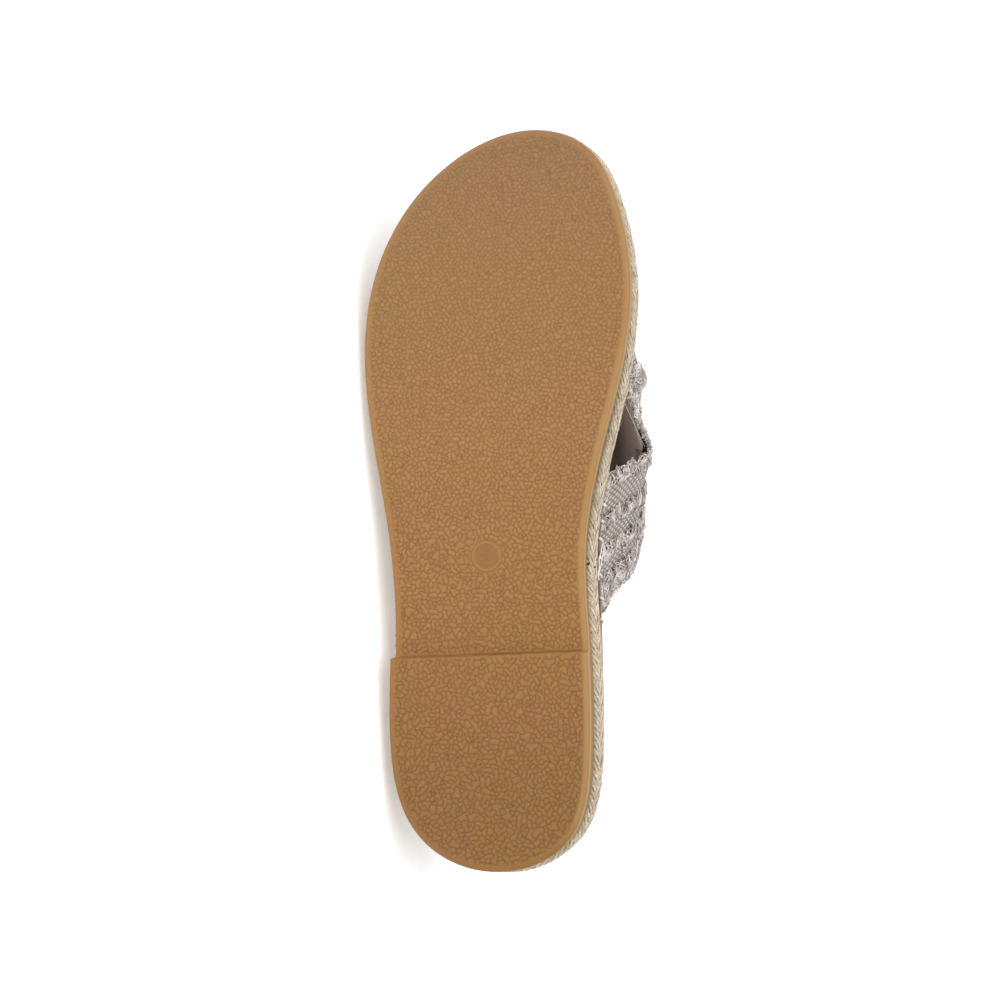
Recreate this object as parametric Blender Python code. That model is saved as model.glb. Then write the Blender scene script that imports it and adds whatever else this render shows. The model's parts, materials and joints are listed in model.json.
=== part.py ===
"""Espadrille mule: the right shoe of a pair, lying on its lateral side.

The shoe is modelled upright in millimetres: +X lateral, +Y to the toe, +Z up from the tread.
A parent empty then lays it on the floor, on the lateral edge of its sole and on its upper.
"""
import bmesh
import bpy
import numpy as np
from mathutils import Matrix, Vector

MM = 0.001

# Driving dimensions, in millimetres
SOLE_LENGTH = 266.0
SEAT_GAP = 0.3
INSOLE_THICKNESS = 3.0
INSOLE_INSET = 0.6
INSOLE_EDGE_ROUND = 0.8
TREAD_EDGE_ROUND = 1.8
HEEL_BREAST_MEDIAL = 79.3
HEEL_BREAST_LATERAL = 75.4
BREAST_DRAFT = 0.6
HEEL_LIP_MEDIAL = 0.2
HEEL_LIP_LATERAL = 1.1
HEEL_LIP_FADE = 60.0
ROPE_ROWS = 2
ROPE_BULGE = 1.1
STRAP_WALL = 1.6
STRIP_STEP = 1.1
STRIP_DRAFT = 0.25
STRAP_FOOT_INSET = 4.0
CROSSING_LIFT = 1.2
CROSSING_RAMP = 5.0
FRAY_DEPTH = 0.9
SLOT_CLEARANCE = 0.45
SLOT_END_CLEARANCE = 1.2

# How finely the curved pieces are divided
OUTLINE_STATIONS = 60
ROPE_ROW_STEPS = 4
LOWER_STRAP_ROWS = 56
OVER_STRAP_ROWS = 59
SLOT_STEPS = 14
SIDE_SAMPLES = 400
SIDE_END_ANGLE = 0.05
SHARP_ANGLE = 35.0
EDGE_TURNS = (0.0, 30.0, 60.0, 90.0)

# Sole outline: place, distance from the heel, distance from the long axis (lateral is positive)
OUTLINE = (
    ("heel back", 0.0, 0.7),
    ("heel turn, lateral", 16.1, 31.4),
    ("heel, lateral", 55.0, 39.2),
    ("waist, lateral", 98.0, 38.8),
    ("shank, lateral", 140.0, 43.2),
    ("ball, lateral", 182.0, 48.5),
    ("small toe", 224.0, 41.2),
    ("toe turn, lateral", 252.7, 20.3),
    ("toe tip", 266.0, -12.0),
    ("toe turn, medial", 255.0, -36.2),
    ("big toe", 238.4, -44.2),
    ("ball, medial", 202.0, -49.4),
    ("shank, medial", 158.0, -40.8),
    ("waist, medial", 118.0, -32.8),
    ("breast, medial", 85.0, -33.9),
    ("heel, medial", 45.0, -35.0),
    ("heel turn, medial", 16.1, -29.8),
)
TOE_ROW = 8

# Sole layers: distance from the heel, tread ahead of the heel block, top of rubber, rope height,
# and how far the rope stands out past the outline on the medial and on the lateral side
LAYERS = (
    (0.0, 3.2, 8.0, 12.0, 1.6, 0.8),
    (77.0, 3.2, 8.0, 12.0, 1.2, 0.6),
    (118.0, 2.7, 7.2, 11.0, 1.6, 0.6),
    (160.0, 0.0, 4.2, 9.2, 1.8, 0.4),
    (204.0, 0.0, 4.0, 9.0, 0.5, 0.0),
    (238.0, 2.2, 6.2, 9.0, 0.2, -0.3),
    (266.0, 7.0, 11.0, 9.0, 0.0, -0.5),
)

# Last above the footbed: distance from the heel, ridge height, ridge place across,
# and for each side how far the wall leans out and how wide its shoulder is
LAST = (
    (80.0, 75.0, -4.0, 18.0, 30.0, 2.0, 26.0),
    (100.0, 73.0, -5.0, 21.0, 30.0, 3.0, 26.0),
    (120.0, 70.0, -6.0, 23.0, 30.0, 3.0, 26.0),
    (140.0, 65.0, -7.0, 24.0, 30.0, 2.0, 26.0),
    (160.0, 58.0, -8.0, 15.0, 29.0, -2.0, 25.0),
    (180.0, 50.0, -9.0, 4.0, 28.0, -7.0, 24.0),
    (200.0, 43.0, -10.0, -5.0, 28.0, -9.0, 24.0),
    (216.0, 38.0, -10.0, -6.0, 28.0, -9.0, 24.0),
)
WALL_REACH = 0.7

# Share of a strap's run at which it leaves its slot, share over which its strips flatten,
# and the height of a strip's step inside the slot
FOOT_SHARE = 0.009
FOOT_TAPER = 0.06
FOOT_STEP = 0.06

# Strap edges: share of the way from its front foot over the instep to its rear foot,
# distance of its front edge and of its rear edge from the heel
STRAP = (
    (0.0, 207.0, 175.0),
    (0.25, 187.0, 149.8),
    (0.5, 168.0, 133.0),
    (0.75, 151.7, 116.0),
    (1.0, 143.0, 91.0),
)

# Where each strip of a strap starts, as a share of the strap's width from its front edge
STRIP_STARTS = (0.0, 0.33, 0.55, 0.74)
STRIP_COUNT = len(STRIP_STARTS)

# Share of a strip's step that is left at its middle, and at the strap's feet
STRIP_CROWN = 0.55
STRIP_AT_FOOT = 0.15

# Steps of the wander of a torn edge: per row, per strip and per strap
FRAY_PHASES = (12.9898, 78.233, 37.719)

# Share of the shoe's weight in each piece
WEIGHT_SHARES = {"outsole": 0.48, "midsole": 0.35, "insole": 0.08, "upper": 0.045, "strap_over": 0.045}

# A floor face of the shoe's hull looks at least this much to the lateral side and to the upper
LATERAL_FACING = 0.7
UPPER_FACING = 0.05

# Colour, roughness and metallic value of each piece
FINISH = {
    "outsole": ((0.37, 0.20, 0.085, 1.0), 0.55, 0.0),
    "midsole": ((0.56, 0.45, 0.31, 1.0), 0.9, 0.0),
    "insole": ((0.20, 0.12, 0.09, 1.0), 0.85, 0.0),
    "upper": ((0.38, 0.33, 0.30, 1.0), 0.9, 0.0),
}


def clear_scene():
    """Start from an empty scene."""
    for old in list(bpy.data.objects):
        bpy.data.objects.remove(old, do_unlink=True)


def smooth_table(table, column, x):
    """Value of one column of a table at x, on a smooth curve that never overshoots its rows."""
    rows = np.array(table, dtype=float)
    knots = rows[:, 0]
    values = rows[:, column]
    steps = np.diff(knots)
    slopes = np.diff(values) / steps
    tangents = np.zeros_like(values)
    tangents[0] = slopes[0]
    tangents[-1] = slopes[-1]
    for i in range(1, len(values) - 1):
        if slopes[i - 1] * slopes[i] > 0:
            tangents[i] = 2 * slopes[i - 1] * slopes[i] / (slopes[i - 1] + slopes[i])
    x = np.clip(np.asarray(x, dtype=float), knots[0], knots[-1])
    i = np.clip(np.searchsorted(knots, x, side="right") - 1, 0, len(steps) - 1)
    h = steps[i]
    t = (x - knots[i]) / h
    rise = values[i] * (2 * t**3 - 3 * t**2 + 1) + values[i + 1] * (3 * t**2 - 2 * t**3)
    lean = tangents[i] * (t**3 - 2 * t**2 + t) + tangents[i + 1] * (t**3 - t**2)
    return rise + h * lean


def closed_spline(knots, values, period):
    """Second derivatives of the periodic cubic spline through the given points."""
    count = len(knots)
    steps = np.diff(np.append(knots, knots[0] + period))
    slopes = (np.roll(values, -1) - values) / steps
    system = np.zeros((count, count))
    for i in range(count):
        system[i, i - 1] += steps[i - 1]
        system[i, i] += 2 * (steps[i - 1] + steps[i])
        system[i, (i + 1) % count] += steps[i]
    return np.linalg.solve(system, 6 * (slopes - np.roll(slopes, 1)))


def outline_x(angle):
    """Distance across at a turn angle: 0 at the heel, pi at the toe, lateral side first."""
    turns = []
    for place, y, x in OUTLINE:
        half_turn = turn_at(y)
        turns.append(half_turn if len(turns) <= TOE_ROW else 2 * np.pi - half_turn)
    knots = np.array(turns)
    values = np.array([x for place, y, x in OUTLINE])
    period = 2 * np.pi
    bend = closed_spline(knots, values, period)
    angle = np.mod(angle, period)
    i = np.searchsorted(knots, angle, side="right") - 1
    j = (i + 1) % len(knots)
    h = np.mod(knots[j] - knots[i], period)
    right = angle - knots[i]
    left = h - right
    curve = (bend[i] * left**3 + bend[j] * right**3) / (6 * h)
    line = (values[i] / h - bend[i] * h / 6) * left + (values[j] / h - bend[j] * h / 6) * right
    return curve + line


def outline_points(angles, offset):
    """Points of the sole outline moved out by an offset along its normal."""
    small = 1e-4
    y = SOLE_LENGTH * (1 - np.cos(angles)) / 2
    tangent_x = (outline_x(angles + small) - outline_x(angles - small)) / (2 * small)
    tangent_y = SOLE_LENGTH * np.sin(angles) / 2
    length = np.hypot(tangent_x, tangent_y)
    x = outline_x(angles) + offset * tangent_y / length
    return x, y - offset * tangent_x / length


def side_x(y, side, offset):
    """Distance across of the offset outline at y, on the lateral (+1) or medial (-1) side."""
    angles = np.linspace(SIDE_END_ANGLE, np.pi - SIDE_END_ANGLE, SIDE_SAMPLES)
    if side < 0:
        angles = 2 * np.pi - angles
    x_points, y_points = outline_points(angles, offset)
    return np.interp(y, y_points, x_points)


def rubber_top(y):
    return smooth_table(LAYERS, 2, y)


def rope_base(y):
    return rubber_top(y) + SEAT_GAP


def rope_top(y):
    return rope_base(y) + smooth_table(LAYERS, 3, y)


def rope_out(y, lateral):
    """How far the rope stands out past the outline."""
    return np.where(lateral, smooth_table(LAYERS, 5, y), smooth_table(LAYERS, 4, y))


def footbed(y):
    """Top of the insole."""
    return rope_top(y) + SEAT_GAP + INSOLE_THICKNESS


def heel_breast(lateral):
    """Front of the heel block, which slants a little across the sole."""
    return np.where(lateral, HEEL_BREAST_LATERAL, HEEL_BREAST_MEDIAL)


def tread(y, lateral):
    """Bottom of the rubber: the heel block, then the arch, the ball and the toe spring."""
    block = np.clip((y - heel_breast(lateral)) / BREAST_DRAFT, 0, 1)
    return block * smooth_table(LAYERS, 1, y)


def lip_inset(y, lateral):
    """How far the rubber draws in ahead of the heel block."""
    ahead = y - heel_breast(lateral)
    block = np.clip(ahead / BREAST_DRAFT, 0, 1)
    lip = np.where(lateral, HEEL_LIP_LATERAL, HEEL_LIP_MEDIAL)
    return block * lip * np.clip(1 - ahead / HEEL_LIP_FADE, 0, 1)


def turn_at(y):
    """Half turn of the outline at a distance from the heel."""
    return np.arccos(1 - 2 * y / SOLE_LENGTH)


def station_angles(lateral):
    """Half turns of the outline on one side, from heel to toe, with a pair at the heel breast."""
    even = np.linspace(0, np.pi, OUTLINE_STATIONS + 1)
    spacing = even[1] - even[0]
    middle = turn_at((HEEL_BREAST_MEDIAL + HEEL_BREAST_LATERAL) / 2)
    clear = np.abs(even - middle) > spacing / 2
    breast = turn_at(heel_breast(lateral) + np.array([0.0, BREAST_DRAFT]))
    return np.sort(np.concatenate([even[clear], breast]))


def ring_angles():
    """All outline stations in order round the sole, heel and toe once each."""
    medial = station_angles(False)
    return np.concatenate([station_angles(True), 2 * np.pi - medial[-2:0:-1]])


def new_object(name, vertices, faces):
    """Mesh object from points in millimetres, with its faces turned outwards."""
    mesh = bpy.data.meshes.new(name)
    mesh.from_pydata((np.asarray(vertices) * MM).tolist(), [], faces)
    build = bmesh.new()
    build.from_mesh(mesh)
    bmesh.ops.recalc_face_normals(build, faces=build.faces)
    build.to_mesh(mesh)
    build.free()
    mesh.shade_smooth()
    mesh.set_sharp_from_angle(angle=np.radians(SHARP_ANGLE))
    piece = bpy.data.objects.new(name, mesh)
    bpy.context.collection.objects.link(piece)
    return piece


def finish(piece):
    """Give a piece its own material."""
    colour, roughness, metallic = FINISH[piece.name]
    material = bpy.data.materials.new(piece.name)
    material.use_nodes = True
    shader = material.node_tree.nodes["Principled BSDF"]
    shader.inputs["Base Color"].default_value = colour
    shader.inputs["Roughness"].default_value = roughness
    shader.inputs["Metallic"].default_value = metallic
    piece.data.materials.append(material)


def layer(name, side_profile):
    """Closed sole layer: rings of (offset, height) up its side, and both faces spanned across."""
    angles = ring_angles()
    count = len(angles)
    vertices = []
    lateral = angles < np.pi
    for offset, height in side_profile:
        x, y = outline_points(angles, 0.0)
        x, y = outline_points(angles, offset(y, lateral))
        vertices.extend(np.column_stack([x, y, height(y, lateral)]))
    rings = len(side_profile)
    faces = []
    for ring in range(rings - 1):
        for i in range(count):
            j = (i + 1) % count
            low = ring * count
            faces.append((low + i, low + j, low + count + j, low + count + i))
    toe = count // 2
    for low in (0, (rings - 1) * count):
        faces.append((low, low + 1, low + count - 1))
        for i in range(1, toe - 1):
            faces.append((low + i, low + i + 1, low + count - i - 1, low + count - i))
        faces.append((low + toe - 1, low + toe, low + toe + 1))
    return new_object(name, vertices, faces)


def make_outsole():
    """Rubber with a rounded lower edge, stepped up and in ahead of the heel block."""
    profile = []
    for turn in np.radians(EDGE_TURNS):
        inset = TREAD_EDGE_ROUND * (1 - np.sin(turn))
        rise = TREAD_EDGE_ROUND * (1 - np.cos(turn))

        def offset(y, lateral, inset=inset):
            return -inset - lip_inset(y, lateral)

        def height(y, lateral, rise=rise):
            return tread(y, lateral) + rise

        profile.append((offset, height))
    profile.append((lambda y, lateral: -lip_inset(y, lateral), lambda y, lateral: rubber_top(y)))
    return layer("outsole", profile)


def make_midsole():
    """Rows of round rope, one on the other."""
    steps = ROPE_ROWS * ROPE_ROW_STEPS
    profile = []
    for step in range(steps + 1):
        share = step / steps
        swell = ROPE_BULGE * (abs(np.sin(np.pi * ROPE_ROWS * share)) - 0.5)

        def offset(y, lateral, swell=swell):
            return rope_out(y, lateral) + swell

        def height(y, lateral, share=share):
            return rope_base(y) + share * (rope_top(y) - rope_base(y))

        profile.append((offset, height))
    return layer("midsole", profile)


def make_insole():
    """Footbed with a softened top edge and a slot for each strap foot."""
    profile = [(insole_offset(0.0), lambda y, lateral: rope_top(y) + SEAT_GAP)]
    for turn in np.radians(EDGE_TURNS):
        inset = INSOLE_EDGE_ROUND * (1 - np.cos(turn))
        drop = INSOLE_EDGE_ROUND * (1 - np.sin(turn))
        profile.append((insole_offset(inset), lambda y, lateral, drop=drop: footbed(y) - drop))
    insole = layer("insole", profile)
    front, rear = STRAP[0], STRAP[-1]
    for side, place in ((-1, "medial"), (1, "lateral")):
        for end, row in (("front", front), ("rear", rear)):
            cutter = slot_cutter(f"slot_{place}_{end}", side, row[2], row[1])
            cut = insole.modifiers.new(cutter.name, "BOOLEAN")
            cut.operation = "DIFFERENCE"
            cut.solver = "EXACT"
            cut.object = cutter
    return insole


def insole_offset(inset):
    """Offset of the footbed's edge from the outline, drawn in by an inset."""
    return lambda y, lateral: np.full_like(y, -INSOLE_INSET - inset)


def slot_cutter(name, side, rear, front):
    """Curved slab that cuts the slot for one strap foot."""
    inner = -INSOLE_INSET - STRAP_FOOT_INSET - SLOT_CLEARANCE
    outer = -INSOLE_INSET - STRAP_FOOT_INSET + STRAP_WALL + SLOT_CLEARANCE
    places = np.linspace(rear - SLOT_END_CLEARANCE, front + SLOT_END_CLEARANCE, SLOT_STEPS)
    vertices = []
    for y in places:
        low = rope_top(y) - INSOLE_THICKNESS
        high = footbed(y) + INSOLE_THICKNESS
        for offset, z in ((inner, low), (outer, low), (outer, high), (inner, high)):
            vertices.append((side_x(y, side, offset), y, z))
    faces = tube_faces(SLOT_STEPS, 4, [(0, 1, 2, 3)])
    return as_helper(new_object(name, vertices, faces))


def as_helper(piece):
    """Mark an object as a construction shape."""
    piece.hide_render = True
    piece.display_type = "WIRE"
    return piece


def tube_faces(rows, columns, cap):
    """Faces of a tube of rows of points, closed at each end by the faces of a cap."""
    faces = []
    for row in range(rows - 1):
        for i in range(columns):
            j = (i + 1) % columns
            low = row * columns
            faces.append((low + i, low + j, low + columns + j, low + columns + i))
    for low in (0, (rows - 1) * columns):
        faces.extend(tuple(low + i for i in face) for face in cap)
    return faces


def last_point(y, across):
    """Point of the last: across runs from 0 at the medial foot over the ridge to 1, lateral."""
    side = np.where(across < 0.5, -1.0, 1.0)
    t = np.where(across < 0.5, 2 * across, 2 - 2 * across)
    medial_foot = side_x(y, -1, -INSOLE_INSET - STRAP_FOOT_INSET)
    lateral_foot = side_x(y, 1, -INSOLE_INSET - STRAP_FOOT_INSET)
    foot = np.where(side < 0, medial_foot, lateral_foot)
    height = smooth_table(LAST, 1, y)
    ridge = smooth_table(LAST, 2, y)
    lean = np.where(side < 0, smooth_table(LAST, 3, y), smooth_table(LAST, 5, y))
    shoulder = np.where(side < 0, smooth_table(LAST, 4, y), smooth_table(LAST, 6, y))
    weights = ((1 - t) ** 3, 3 * (1 - t) ** 2 * t, 3 * (1 - t) * t**2, t**3)
    xs = (foot, foot + side * lean, ridge + side * shoulder, ridge)
    zs = (0.0 * height, WALL_REACH * height, height, height)
    x = sum(weight * value for weight, value in zip(weights, xs))
    z = sum(weight * value for weight, value in zip(weights, zs))
    return np.stack([x, y, z + footbed(y)], axis=-1)


def last_normal(y, across):
    """Outward direction of the last."""
    small = 1e-3
    along = last_point(y + small, across) - last_point(y - small, across)
    around = last_point(y, across + small) - last_point(y, across - small)
    normal = np.cross(around, along)
    return normal / np.linalg.norm(normal, axis=-1, keepdims=True)


def strap_edges(across, front_side):
    """Front and rear edge of a strap where it crosses the last at a given place."""
    share = across if front_side < 0 else 1 - across
    return smooth_table(STRAP, 1, share), smooth_table(STRAP, 2, share)


def crossing_lift(y, across):
    """How far the upper strap is raised where the lower strap passes under it."""
    front, rear = strap_edges(across, -1)
    ahead = np.clip(1 - (y - front) / CROSSING_RAMP, 0, 1)
    behind = np.clip(1 - (rear - y) / CROSSING_RAMP, 0, 1)
    cover = ahead * behind
    return CROSSING_LIFT * cover * cover * (3 - 2 * cover)


def fray(row, strip, strap_seed):
    """Small deterministic wander of a torn strip edge."""
    per_row, per_strip, per_strap = FRAY_PHASES
    phase = per_row * row + per_strip * strip + per_strap * strap_seed
    return np.sin(phase) * np.cos(2.3 * phase + 1.0)


def strap_columns():
    """Outer columns of a strap: share of its width, share of the strip step, strip number, and
    how far ahead of that share it lies, so that each step has a slight draft."""
    starts = STRIP_STARTS + (1.0,)
    columns = []
    for strip in range(STRIP_COUNT):
        here, after = starts[strip], starts[strip + 1]
        draft = STRIP_DRAFT if strip + 1 < STRIP_COUNT else 0.0
        columns.append((here, 1.0, strip, 0.0))
        columns.append(((here + after) / 2, STRIP_CROWN, None, 0.0))
        columns.append((after, 0.0, strip + 1, draft))
    return columns


def inner_shares():
    """Inner columns of a strap, from its rear edge back to its front edge."""
    return sorted({column[0] for column in strap_columns()}, reverse=True)


def strap_cap():
    """Faces that close the end of a strap, across from its outer to its inner columns."""
    outer = [column[0] for column in strap_columns()]
    inner = inner_shares()
    faces = []
    for i in range(len(outer) - 1):
        here = len(outer) + inner.index(outer[i])
        after = len(outer) + inner.index(outer[i + 1])
        faces.append((i, i + 1, here) if here == after else (i, i + 1, after, here))
    return faces


def make_strap(name, front_side, rows):
    """One strap of overlapping strips, from its front foot to its rear foot on the other side."""
    over = front_side > 0
    across_rows = np.linspace(FOOT_SHARE, 1 - FOOT_SHARE, rows)
    vertices = []
    for row, across in enumerate(across_rows):
        taper = np.clip(min(across, 1 - across) / FOOT_TAPER, 0, 1)
        vertices.append(strap_row(across, row, taper, front_side, over))
    medial_foot = foot_rows(-1, front_side)
    lateral_foot = foot_rows(1, front_side)
    vertices = medial_foot + vertices + lateral_foot[::-1]
    columns = len(vertices[0])
    points = [point for row in vertices for point in row]
    return new_object(name, points, tube_faces(len(vertices), columns, strap_cap()))


def strap_row(across, row, taper, front_side, over):
    """Points round one cross-section of a strap: outer face, then inner face."""
    front, rear = strap_edges(across, front_side)
    points = []
    for share, step, strip, draft in strap_columns():
        wander = 0.0
        if strip is not None and strip < STRIP_COUNT:
            wander = FRAY_DEPTH * taper * fray(row, strip, front_side)
        y = front + (rear - front) * share + wander + draft
        height = STRAP_WALL + STRIP_STEP * step * (STRIP_AT_FOOT + (1 - STRIP_AT_FOOT) * taper)
        points.append(raised(y, across, height, over))
    for share in inner_shares():
        y = front + (rear - front) * share
        points.append(raised(y, across, 0.0, over))
    return points


def raised(y, across, height, over):
    """Point above the last, lifted over the other strap if this strap lies over it."""
    if over:
        height = height + crossing_lift(y, across)
    y = np.array(float(y))
    across = np.array(float(across))
    return last_point(y, across) + height * last_normal(y, across)


def foot_rows(side, front_side):
    """End of a strap, straight down through its slot to just above the rope."""
    front, rear = strap_edges(np.array(0.0 if side < 0 else 1.0), front_side)
    columns = []
    for share, step, strip, draft in strap_columns():
        columns.append((share, STRAP_WALL + FOOT_STEP * step, draft))
    for share in inner_shares():
        columns.append((share, 0.0, 0.0))
    bottom, top = [], []
    for share, height, draft in columns:
        y = front + (rear - front) * share + draft
        x = side_x(y, side, height - INSOLE_INSET - STRAP_FOOT_INSET)
        bottom.append(np.array([x, y, rope_top(y) + 2 * SEAT_GAP]))
        top.append(np.array([x, y, footbed(y)]))
    return [bottom, top]


def make_upper():
    """Both straps, joined where one crosses over the other."""
    upper = make_strap("upper", -1, LOWER_STRAP_ROWS)
    over = as_helper(make_strap("strap_over", 1, OVER_STRAP_ROWS))
    join = upper.modifiers.new("crossing", "BOOLEAN")
    join.operation = "UNION"
    join.solver = "EXACT"
    join.object = over
    return upper


def lying_pose(pieces):
    """Turn and move that lay the shoe on its lateral side, with the floor at zero."""
    points = [Vector(vertex.co) for piece in pieces for vertex in piece.data.vertices]
    hull = bmesh.new()
    for point in points:
        hull.verts.new(point)
    bmesh.ops.convex_hull(hull, input=hull.verts)
    hull.normal_update()
    centre = centre_of_mass(pieces)
    down = resting_normal(hull, centre)
    hull.free()
    toe = Vector((0, 1, 0))
    toe = (toe - toe.dot(down) * down).normalized()
    world_x = -toe
    world_z = -down
    world_y = world_z.cross(world_x)
    turn = Matrix((world_x, world_y, world_z)).to_4x4()
    turned = np.array([(turn @ point)[:] for point in points])
    low = turned.min(axis=0)
    high = turned.max(axis=0)
    middle = (low + high) / 2
    return Matrix.Translation((-middle[0], -middle[1], -low[2])) @ turn


def centre_of_mass(pieces):
    """Mean of the pieces' centres, weighed by the share of the shoe's weight in each."""
    total = Vector()
    for piece in pieces:
        corners = [Vector(corner) for corner in piece.bound_box]
        total += WEIGHT_SHARES[piece.name] * sum(corners, Vector()) / len(corners)
    return total / sum(WEIGHT_SHARES.values())


def resting_normal(hull, centre):
    """Direction of the lateral hull face, over sole edge and upper, nearest the centre of mass."""
    best = None
    for face in hull.faces:
        normal = face.normal
        if normal.x < LATERAL_FACING or normal.z < UPPER_FACING:
            continue
        reach = (face.verts[0].co - centre).dot(normal)
        if best is None or reach < best[0]:
            best = (reach, normal.copy())
    return best[1]


def make_shoe():
    clear_scene()
    outsole = make_outsole()
    midsole = make_midsole()
    insole = make_insole()
    upper = make_upper()
    helpers = [piece for piece in bpy.data.objects if piece.hide_render]
    solids = [outsole, midsole, insole, upper]
    over = bpy.data.objects["strap_over"]
    pose = bpy.data.objects.new("lying_pose", None)
    bpy.context.collection.objects.link(pose)
    pose.matrix_world = lying_pose(solids + [over])
    for piece in solids:
        finish(piece)
    for piece in solids + helpers:
        piece.parent = pose
    return pose


make_shoe()
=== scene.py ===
"""Looks of the espadrille mule: pebbled rubber, twisted rope, footbed and frayed canvas straps.

Every piece is made in the shoe's own frame, upright and in millimetres: +X lateral, +Y to the toe,
+Z up from the tread. shoe_pose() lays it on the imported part, by the part's two tread mounts.
"""
import json

import bpy
import numpy as np
from mathutils import Matrix, Vector, geometry, kdtree


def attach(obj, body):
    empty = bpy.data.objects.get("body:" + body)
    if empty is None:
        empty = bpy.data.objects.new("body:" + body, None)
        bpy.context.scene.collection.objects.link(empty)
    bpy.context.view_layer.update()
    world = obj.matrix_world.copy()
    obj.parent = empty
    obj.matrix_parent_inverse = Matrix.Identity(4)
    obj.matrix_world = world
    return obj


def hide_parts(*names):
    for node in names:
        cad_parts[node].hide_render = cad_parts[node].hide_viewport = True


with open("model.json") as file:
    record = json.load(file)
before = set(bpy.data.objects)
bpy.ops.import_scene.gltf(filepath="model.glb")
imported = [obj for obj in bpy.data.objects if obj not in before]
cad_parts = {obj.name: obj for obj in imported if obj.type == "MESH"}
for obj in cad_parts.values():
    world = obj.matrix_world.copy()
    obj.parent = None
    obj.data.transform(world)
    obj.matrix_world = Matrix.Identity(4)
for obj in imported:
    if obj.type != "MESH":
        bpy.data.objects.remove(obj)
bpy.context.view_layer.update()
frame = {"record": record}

MM = 0.001

# Distance between the rows of an even grid of triangles, as a share of its pitch
ROW_SHARE = np.sqrt(3) / 2

# What the 2-D triangulation fills, and how near two of its places count as one
FILL_ALL = 0
FILL_INSIDE = 1
FILL_AROUND_HOLES = 4
FILL_NEARNESS = 1e-6

# Half the width that the grids of places on the sole cover, and steps of lines that are looked up
SOLE_HALF_WIDTH = 52.0
SIDE_STEPS = 600
SIDE_START = 0.01
OUTLINE_STEPS = 8000
STRAP_STEPS = 400

# Shoe, as in the part's source, in millimetres or as shares
SOLE_LENGTH = 266.0
SEAT_GAP = 0.3
INSOLE_THICKNESS = 3.0
INSOLE_INSET = 0.6
TREAD_EDGE_ROUND = 1.8
HEEL_BREAST_MEDIAL = 79.3
HEEL_BREAST_LATERAL = 75.4
BREAST_DRAFT = 0.6
HEEL_LIP_MEDIAL = 0.2
HEEL_LIP_LATERAL = 1.1
HEEL_LIP_FADE = 60.0
ROPE_ROWS = 2
ROPE_BULGE = 1.1
STRAP_WALL = 1.6
STRIP_STEP = 1.1
STRAP_FOOT_INSET = 4.0
CROSSING_RAMP = 5.0
SLOT_CLEARANCE = 0.45
SLOT_END_CLEARANCE = 1.2
FOOT_TAPER = 0.06
STRIP_AT_FOOT = 0.15
WALL_REACH = 0.7
HEEL_MOUNT_Y = 45.0

# Sole outline: place, distance from the heel, distance from the long axis (lateral is positive)
OUTLINE = (
    ("heel back", 0.0, 0.7),
    ("heel turn, lateral", 16.1, 31.4),
    ("heel, lateral", 55.0, 39.2),
    ("waist, lateral", 98.0, 38.8),
    ("shank, lateral", 140.0, 43.2),
    ("ball, lateral", 182.0, 48.5),
    ("small toe", 224.0, 41.2),
    ("toe turn, lateral", 252.7, 20.3),
    ("toe tip", 266.0, -12.0),
    ("toe turn, medial", 255.0, -36.2),
    ("big toe", 238.4, -44.2),
    ("ball, medial", 202.0, -49.4),
    ("shank, medial", 158.0, -40.8),
    ("waist, medial", 118.0, -32.8),
    ("breast, medial", 85.0, -33.9),
    ("heel, medial", 45.0, -35.0),
    ("heel turn, medial", 16.1, -29.8),
)
TOE_ROW = 8

# Sole layers: distance from the heel, tread ahead of the heel block, top of rubber, rope height,
# and how far the rope stands out past the outline on the medial and on the lateral side
LAYERS = (
    (0.0, 3.2, 8.0, 12.0, 1.6, 0.8),
    (77.0, 3.2, 8.0, 12.0, 1.2, 0.6),
    (118.0, 2.7, 7.2, 11.0, 1.6, 0.6),
    (160.0, 0.0, 4.2, 9.2, 1.8, 0.4),
    (204.0, 0.0, 4.0, 9.0, 0.5, 0.0),
    (238.0, 2.2, 6.2, 9.0, 0.2, -0.3),
    (266.0, 7.0, 11.0, 9.0, 0.0, -0.5),
)

# Last above the footbed: distance from the heel, ridge height, ridge place across,
# and for each side how far the wall leans out and how wide its shoulder is
LAST = (
    (80.0, 75.0, -4.0, 18.0, 30.0, 2.0, 26.0),
    (100.0, 73.0, -5.0, 21.0, 30.0, 3.0, 26.0),
    (120.0, 70.0, -6.0, 23.0, 30.0, 3.0, 26.0),
    (140.0, 65.0, -7.0, 24.0, 30.0, 2.0, 26.0),
    (160.0, 58.0, -8.0, 15.0, 29.0, -2.0, 25.0),
    (180.0, 50.0, -9.0, 4.0, 28.0, -7.0, 24.0),
    (200.0, 43.0, -10.0, -5.0, 28.0, -9.0, 24.0),
    (216.0, 38.0, -10.0, -6.0, 28.0, -9.0, 24.0),
)

# Strap edges: share of the way from its front foot over the instep to its rear foot,
# distance of its front edge and of its rear edge from the heel
STRAP = (
    (0.0, 207.0, 175.0),
    (0.25, 187.0, 149.8),
    (0.5, 168.0, 133.0),
    (0.75, 151.7, 116.0),
    (1.0, 143.0, 91.0),
)

# Straps: name, and the side of the front foot (medial is -1); the second lies over the first
STRAPS = (("under", -1), ("over", 1))

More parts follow.
